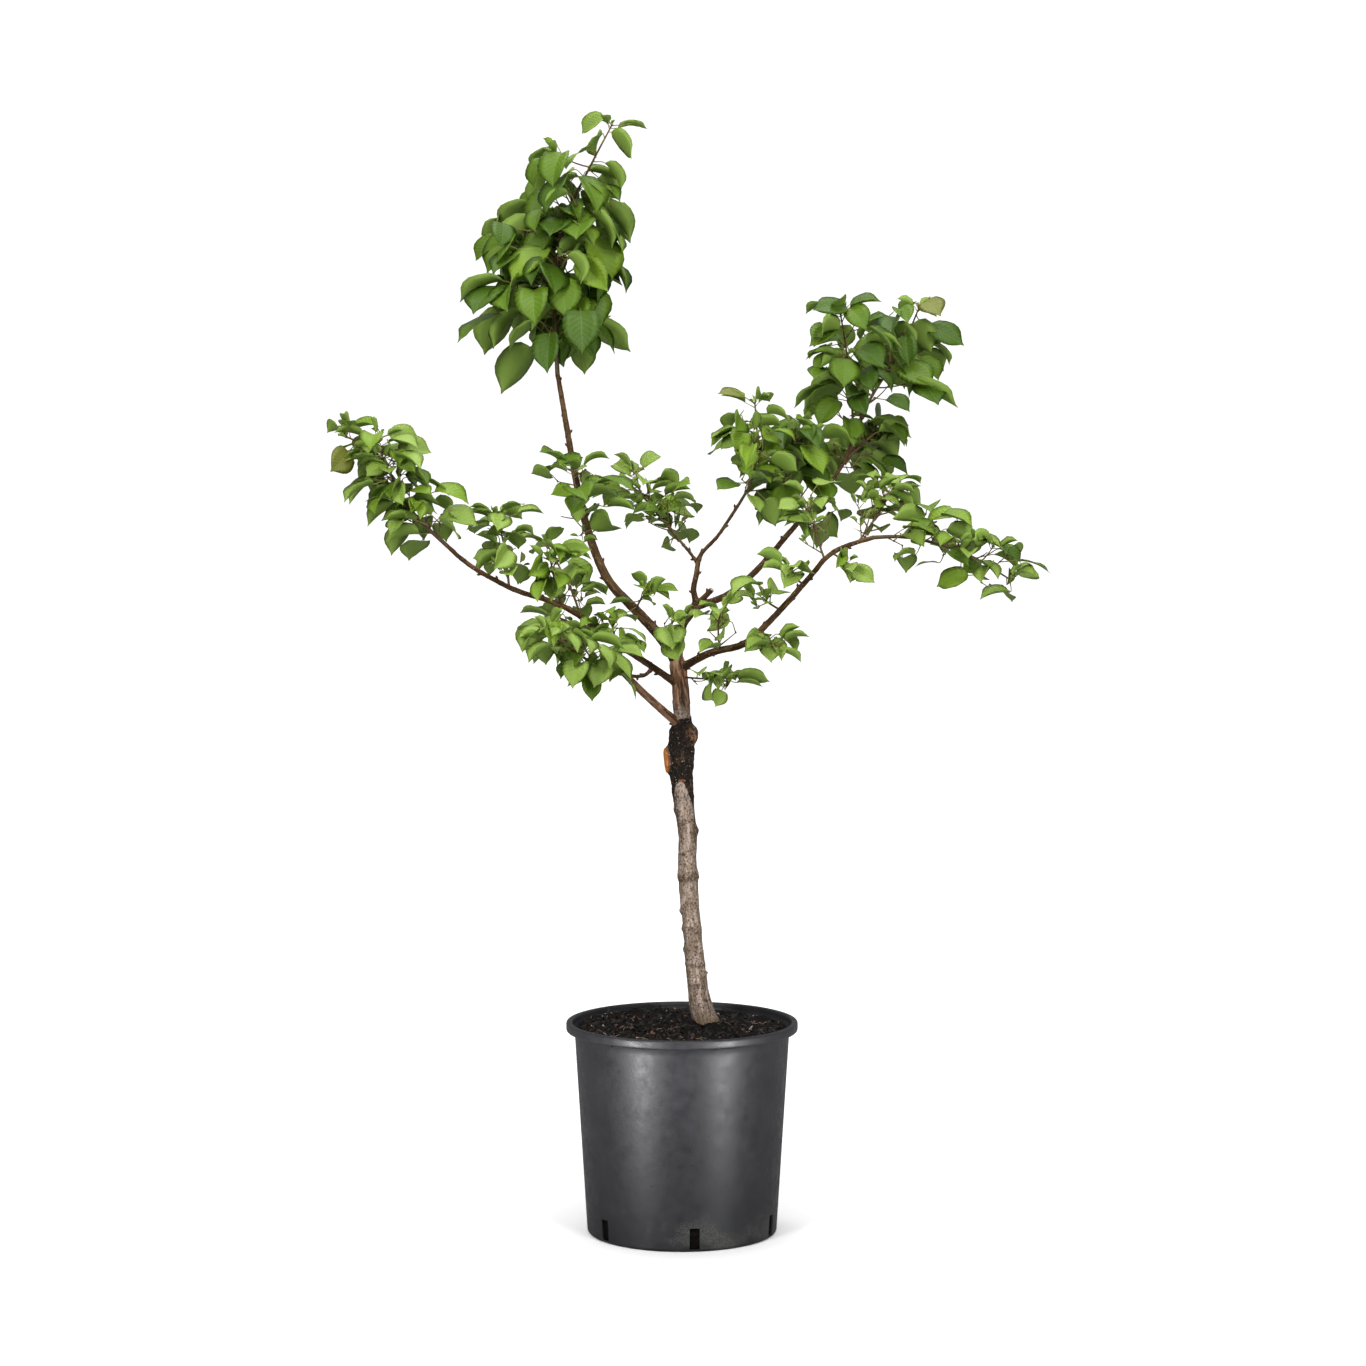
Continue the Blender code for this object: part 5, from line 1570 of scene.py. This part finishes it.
def build_shoots(looks):
    """The masses' stems, their twigs, the leaf stalks and the buds."""
    plant = growth()
    wood = shoot_bark("red_brown_shoot_bark", looks.shoot, looks.shoot_shade, 0.55)
    young = shoot_bark("green_twig_bark", looks.twig, looks.shoot, 0.5)
    stalk = plain_skin("red_green_leaf_stalk", looks.stalk, 0.5)
    scale = plain_skin("dark_bud_scale", looks.bud, 0.6)
    for name, lines, sides, material, slot in (
            ("stems", plant.stem_lines, 10, wood, "bark"), ("twigs", plant.twig_lines, 7, young, "bark"),
            ("leaf_stalks", plant.stalk_lines, 5, stalk, "foliage")):
        settle(shoots_from(name, lines, sides, material), slot, *plant.stems)
    shapes = shapes_in("bud_shapes", [bud_shape("bud_0")])
    buds = made_by(placed_shapes(), "buds", point_fields(plant.buds), {"Shapes": shapes, "Main": scale})
    settle(buds, "bark", *plant.stems)
    clear_shapes(shapes)


def build_leaves(looks):
    """Every leaf, each tint a piece of its own, and the young leaves at the shoots' tips."""
    plant = growth()
    underside = plain_skin("pale_leaf_underside", looks.underside, 0.7)
    for kind, dealt, forms, rows in (
            ("leaves", plant.leaves, LEAF_SHAPES, MARGIN_ROWS),
            ("young_leaves", plant.young, YOUNG_SHAPES, MARGIN_ROWS[::2] + MARGIN_ROWS[-1:])):
        shapes = shapes_in(kind + "_shapes", [
            leaf_shape("%s_shape_%d" % (kind, i), *form, rows) for i, form in enumerate(forms)])
        for tint, placed in dealt.items():
            if not placed:
                continue
            name, green = kind + "_" + tint, getattr(looks, tint)
            pale = tuple(between(pair, RIB_PALENESS) for pair in zip(green, looks.midrib))
            piece = made_by(placed_shapes(), name, point_fields(placed), {
                "Shapes": shapes, "Main": leaf_blade(name + "_blade", green, looks.gloss, kind == "leaves"),
                "Rib": plain_skin(name + "_midrib", pale, 0.7), "Underside": underside})
            settle(piece, "foliage", *plant.stems)
        clear_shapes(shapes)


# Stage
CAMERA_PLACE = (0.0014, -4.985, 1.1854)
CAMERA_DIP = 4.584
CAMERA_LENS, CAMERA_SENSOR = 93.19, 36
FLOOR_SIDE = 60.0
AIM, POT_AIM = (0.0, 0.0, 0.85), (0.0, 0.0, 0.41)
# Softboxes: name, place, aim and size in metres, share of the power and spread in degrees
SOFTBOXES = (
    ("left_softbox", (-1.8, -2.9, 2.4), AIM, (0.9, 1.5), 1.1, 180),
    ("right_softbox", (1.7, -3.0, 2.4), AIM, (0.9, 1.5), 1.0, 180),
    ("top_softbox", (0.0, 0.4, 3.6), AIM, (2.4, 2.4), 1.15, 180),
    ("left_strip", (-0.82, -0.97, 0.17), POT_AIM, (0.12, 0.28), 0.041, 46),
    ("right_strip", (0.86, -0.98, 0.17), POT_AIM, (0.12, 0.28), 0.036, 46))
# Tilt and breadth in degrees of the broad light
SUN_TILT, SUN_BREADTH = (38, 8), 70
# The middle of the shaded paper, a little in front of the pot's axis, and where its light begins and is full
SHADOW_MIDDLE = (0.02, -0.06, 0.0)
NEAR_GLOW, FAR_GLOW = (0.09, 0.19), (0.5, 3.0)
# How bright the surround is as the camera sees it
SURROUND = 1.1


def build_stage(looks):
    """The pale floor, the white surround, the softboxes and the photo's camera."""
    scene = bpy.context.scene
    bm = bmesh.new()
    bmesh.ops.create_grid(bm, x_segments=1, y_segments=1, size=FLOOR_SIDE / 2)
    paper, node, lit = new_material("matt_white_paper", looks.floor, 0.9, 0.1)
    # The paper is lit on its own behind the pot, and only by the softboxes at the pot's foot
    away = node("ShaderNodeVectorMath", {0: node("place"), 1: SHADOW_MIDDLE}, operation="DISTANCE",
                output="Value")
    near = node("range", away, *NEAR_GLOW, 0.0, looks.near_glow)
    far = node("range", away, *FAR_GLOW, 0.0, looks.floor_glow - looks.near_glow)
    set_inputs(lit, {"Emission Color": looks.floor, "Emission Strength": node("plus", near, far)})
    # The tree gets less light back from the paper than the eye does, as when a photo's white is lifted
    dim = node("ShaderNodeBsdfDiffuse", {"Color": looks.bounce})
    both = node("mix shader", node("camera ray"), dim, lit.outputs[0])
    set_inputs(paper.node_tree.nodes["Material Output"], {"Surface": both})
    floor = object_from(bm, "floor", paper)

    world = bpy.data.worlds.new("white_surround")
    world.use_nodes = True
    world.node_tree.nodes.clear()
    node = functools.partial(add_node, world.node_tree)
    fill, seen = (node("ShaderNodeBackground", {"Color": (1, 1, 1, 1), "Strength": strength})
                  for strength in (looks.fill, SURROUND))
    node("ShaderNodeOutputWorld", {"Surface": node("mix shader", node("camera ray"), fill, seen)})
    scene.world = world

    # Two strips light nothing but the pot, for the soft bands down its wall
    pot_only = bpy.data.collections.new("pot_only")
    if "pot_shell" in bpy.data.objects:
        pot_only.objects.link(bpy.data.objects["pot_shell"])
    for name, place, aim, (width, height), share, spread in SOFTBOXES:
        lamp = bpy.data.lights.new(name, "AREA")
        lamp.shape, lamp.size, lamp.size_y = "RECTANGLE", width, height
        lamp.energy, lamp.spread = share * looks.softbox_power, math.radians(spread)
        box = new_object(name, lamp)
        box.location = place
        box.rotation_euler = (Vector(aim) - Vector(place)).to_track_quat("-Z", "Y").to_euler()
        box.visible_camera = False
        if name.endswith("strip"):
            box.light_linking.receiver_collection = pot_only
    sun = bpy.data.lights.new("broad_light", "SUN")
    sun.energy, sun.angle = looks.broad_light, math.radians(SUN_BREADTH)
    new_object("broad_light", sun).rotation_euler = (*(math.radians(tilt) for tilt in SUN_TILT), 0)

    camera = new_object("camera", bpy.data.cameras.new("camera"))
    camera.location = CAMERA_PLACE
    camera.rotation_euler = (math.radians(90 - CAMERA_DIP), 0, 0)
    camera.data.lens, camera.data.sensor_width = CAMERA_LENS, CAMERA_SENSOR
    scene.camera = camera
    scene.view_settings.view_transform = "Standard"
    scene.view_settings.look = "None"


# Add-on
class PotLooks(bpy.types.PropertyGroup):
    plastic: colour("Plastic", "Charcoal polypropylene of the pot", "#18181B")
    grit: colour("Grit", "Pale specks in the recycled plastic", "#2C2C30")
    dust: colour("Dust", "Dust on the pot near its foot", "#77766A")


class CompostLooks(bpy.types.PropertyGroup):
    ground: colour("Ground", "Damp compost in the hollows", "#060504")
    crumb: colour("Crumbs", "Compost on the crumbs", "#16110D")
    chip_dark: colour("Dark bark", "Most of the bark flakes", "#15100C")
    chip_brown: colour("Brown bark", "Freshly broken bark flakes", "#5C4438")
    chip_rust: colour("Rust bark", "The few rust-red flakes", "#74402A")
    chip_pale: colour("Pale bark", "The few pale flakes and splinters", "#B6A59C")
    root: colour("Roots", "Root hairs on the compost", "#8A7764")
    chips_per_square_metre: IntProperty(
        name="Flakes", description="Dark bark flakes on a square metre of compost", default=13000, min=0)


class WoodLooks(bpy.types.PropertyGroup):
    skin_mesh: length("Skin mesh", "Width of the faces that carry the bark's relief", 1.28)
    old_bark: colour("Trunk bark", "Grey-brown bark of the trunk", "#A08C79")
    old_bark_shade: colour("Trunk bark, shade", "Darker blotches and wrinkles of the trunk", "#69564A")
    old_bark_light: colour("Trunk bark, light", "Pale streaks along the trunk", "#CFBCAF")
    # Its dark flecks also paint the shade down the trunk's sides, through the scar finish
    old_bark_fleck: colour("Trunk bark, flecks", "Dark flecks, rings and shoot scars of the trunk", "#3F3125")
    stained_bark: colour("Stained bark", "Bark of the foot, stained by compost", "#5E4E3E")
    fork_bark: colour("Fork bark", "Split red-brown bark of the fork", "#AE8060")
    fork_bark_shade: colour("Fork bark, shade", "Darker blotches of the fork", "#704630")
    fork_bark_light: colour("Fork bark, light", "Pale ridges of the fork", "#D0AC8C")
    young_bark: colour("Bough bark", "Red-brown bark of the boughs", "#523718")
    young_bark_shade: colour("Bough bark, shade", "Darker blotches on the boughs", "#2E1C0C")
    young_bark_light: colour("Bough bark, light", "Grey skin that peels along the boughs", "#775D3A")
    lenticel: colour("Lenticels", "Corky dots in the bark", "#A08C76")
    grafting_paint: colour("Grafting paint", "Tar paint round the graft", "#17110C")
    worn_paint: colour("Thin paint", "Tar paint where it has worn thin", "#54402F")
    paint_speck: colour("Worn paint", "Bark that shows where the paint has worn off", "#CDBBAC")
    callus_rim: colour("Callus, rim", "Red-brown rim of the healing wound", "#7A3216")
    callus: colour("Callus", "Orange wood of the healing wound", "#C0722F")
    callus_light: colour("Callus, light", "Lighter middle of the healing wound", "#DC9A58")
    cut_wood: colour("Cut wood", "Weathered end of the cut stub", "#B5B2AC")


class FoliageLooks(bpy.types.PropertyGroup):
    deep: colour("Deep green", "Oldest leaves, mostly in the high crown", "#405C12")
    mid: colour("Mid green", "Older leaves", "#567318")
    fresh: colour("Fresh green", "Full-grown leaves", "#708D26")
    light: colour("Light green", "Younger leaves", "#819B41")
    bronze: colour("Bronze", "Olive-brown leaves that have just opened", "#6A6F2C")
    midrib: colour("Midrib", "Palest that a midrib could be", "#8FA552")
    underside: colour("Underside", "Backs of the leaves", "#7C983E")
    stalk: colour("Stalks", "Green leaf stalks with a red flush", "#7D7442")
    shoot: colour("Shoots", "Red-brown bark of the shoots", "#5E3E26")
    shoot_shade: colour("Shoots, shade", "Greener bark on the shaded side of the shoots", "#4A4226")
    twig: colour("Twigs", "Green bark of the finest twigs", "#69663A")
    bud: colour("Buds", "Dark scales of the buds", "#4E3626")
    gloss: amount("Leaf roughness", "Roughness of the waxy upper face", 0.46, max=1, subtype="FACTOR")


class StageLooks(bpy.types.PropertyGroup):
    floor: colour("Floor", "White paper that the pot stands on", "#F4F4F4")
    bounce: colour("Bounce", "How much light the paper sends back to the tree", "#A0A0A0")
    floor_glow: amount("Floor glow", "Light that the paper gives off", 0.68)
    near_glow: amount("Glow near the pot", "Light that the paper gives off near the pot", 0.2)
    fill: amount("Fill light", "Even light from all round", 0.35)
    softbox_power: amount("Softbox power", "Power of one softbox", 60, unit="POWER")
    broad_light: amount("Broad light", "Strength of the broad soft light", 1.0)


class APRICOT_OT_pot(bpy.types.Operator):
    """Build the nursery pot's shell"""
    bl_idname = "apricot.pot"
    bl_label = "Pot"

    def execute(self, context):
        build_pot(context.scene.apricot_pot)
        return {"FINISHED"}


class APRICOT_OT_compost(bpy.types.Operator):
    """Build the compost with its bark flakes and fine roots"""
    bl_idname = "apricot.compost"
    bl_label = "Compost"

    def execute(self, context):
        build_compost(context.scene.apricot_compost)
        return {"FINISHED"}


class APRICOT_OT_wood(bpy.types.Operator):
    """Build the trunk and boughs with their bark"""
    bl_idname = "apricot.wood"
    bl_label = "Trunk and boughs"

    def execute(self, context):
        build_wood(context.scene.apricot_wood)
        return {"FINISHED"}


class APRICOT_OT_shoots(bpy.types.Operator):
    """Grow the shoots, twigs, leaf stalks and buds"""
    bl_idname = "apricot.shoots"
    bl_label = "Shoots and stalks"

    def execute(self, context):
        build_shoots(context.scene.apricot_foliage)
        return {"FINISHED"}


class APRICOT_OT_leaves(bpy.types.Operator):
    """Deal out the leaves in their tints"""
    bl_idname = "apricot.leaves"
    bl_label = "Leaves"

    def execute(self, context):
        build_leaves(context.scene.apricot_foliage)
        return {"FINISHED"}


class APRICOT_OT_stage(bpy.types.Operator):
    """Set the floor, the lights and the camera"""
    bl_idname = "apricot.stage"
    bl_label = "Stage"

    def execute(self, context):
        build_stage(context.scene.apricot_stage)
        return {"FINISHED"}


class APRICOT_PT_panel(bpy.types.Panel):
    """The tree's pieces, with the sizes and colours that they are made from"""
    bl_label = "Potted apricot tree"
    bl_idname = "APRICOT_PT_panel"
    bl_space_type = "VIEW_3D"
    bl_region_type = "UI"
    bl_category = "Apricot tree"

    def draw(self, context):
        for operators, key in PANEL_ROWS:
            box = self.layout.box()
            for operator in operators:
                box.operator(operator.bl_idname)
            looks = getattr(context.scene, key)
            for name in type(looks).__annotations__:
                box.prop(looks, name)


LOOKS = {"apricot_pot": PotLooks, "apricot_compost": CompostLooks, "apricot_wood": WoodLooks,
         "apricot_foliage": FoliageLooks, "apricot_stage": StageLooks}
PANEL_ROWS = (
    ((APRICOT_OT_pot,), "apricot_pot"), ((APRICOT_OT_compost,), "apricot_compost"),
    ((APRICOT_OT_wood,), "apricot_wood"), ((APRICOT_OT_shoots, APRICOT_OT_leaves), "apricot_foliage"),
    ((APRICOT_OT_stage,), "apricot_stage"))
OPERATORS = (APRICOT_OT_pot, APRICOT_OT_compost, APRICOT_OT_wood, APRICOT_OT_shoots, APRICOT_OT_leaves,
             APRICOT_OT_stage)


def register():
    for group in LOOKS.values():
        bpy.utils.register_class(group)
    for key, group in LOOKS.items():
        setattr(bpy.types.Scene, key, PointerProperty(type=group))
    for operator in OPERATORS + (APRICOT_PT_panel,):
        bpy.utils.register_class(operator)


def unregister():
    for operator in (APRICOT_PT_panel,) + OPERATORS[::-1]:
        bpy.utils.unregister_class(operator)
    for key, group in reversed(LOOKS.items()):
        delattr(bpy.types.Scene, key)
        bpy.utils.unregister_class(group)


def main():
    register()
    for operator in OPERATORS:
        group, name = operator.bl_idname.split(".")
        getattr(getattr(bpy.ops, group), name)()


if __name__ == "__main__":
    main()
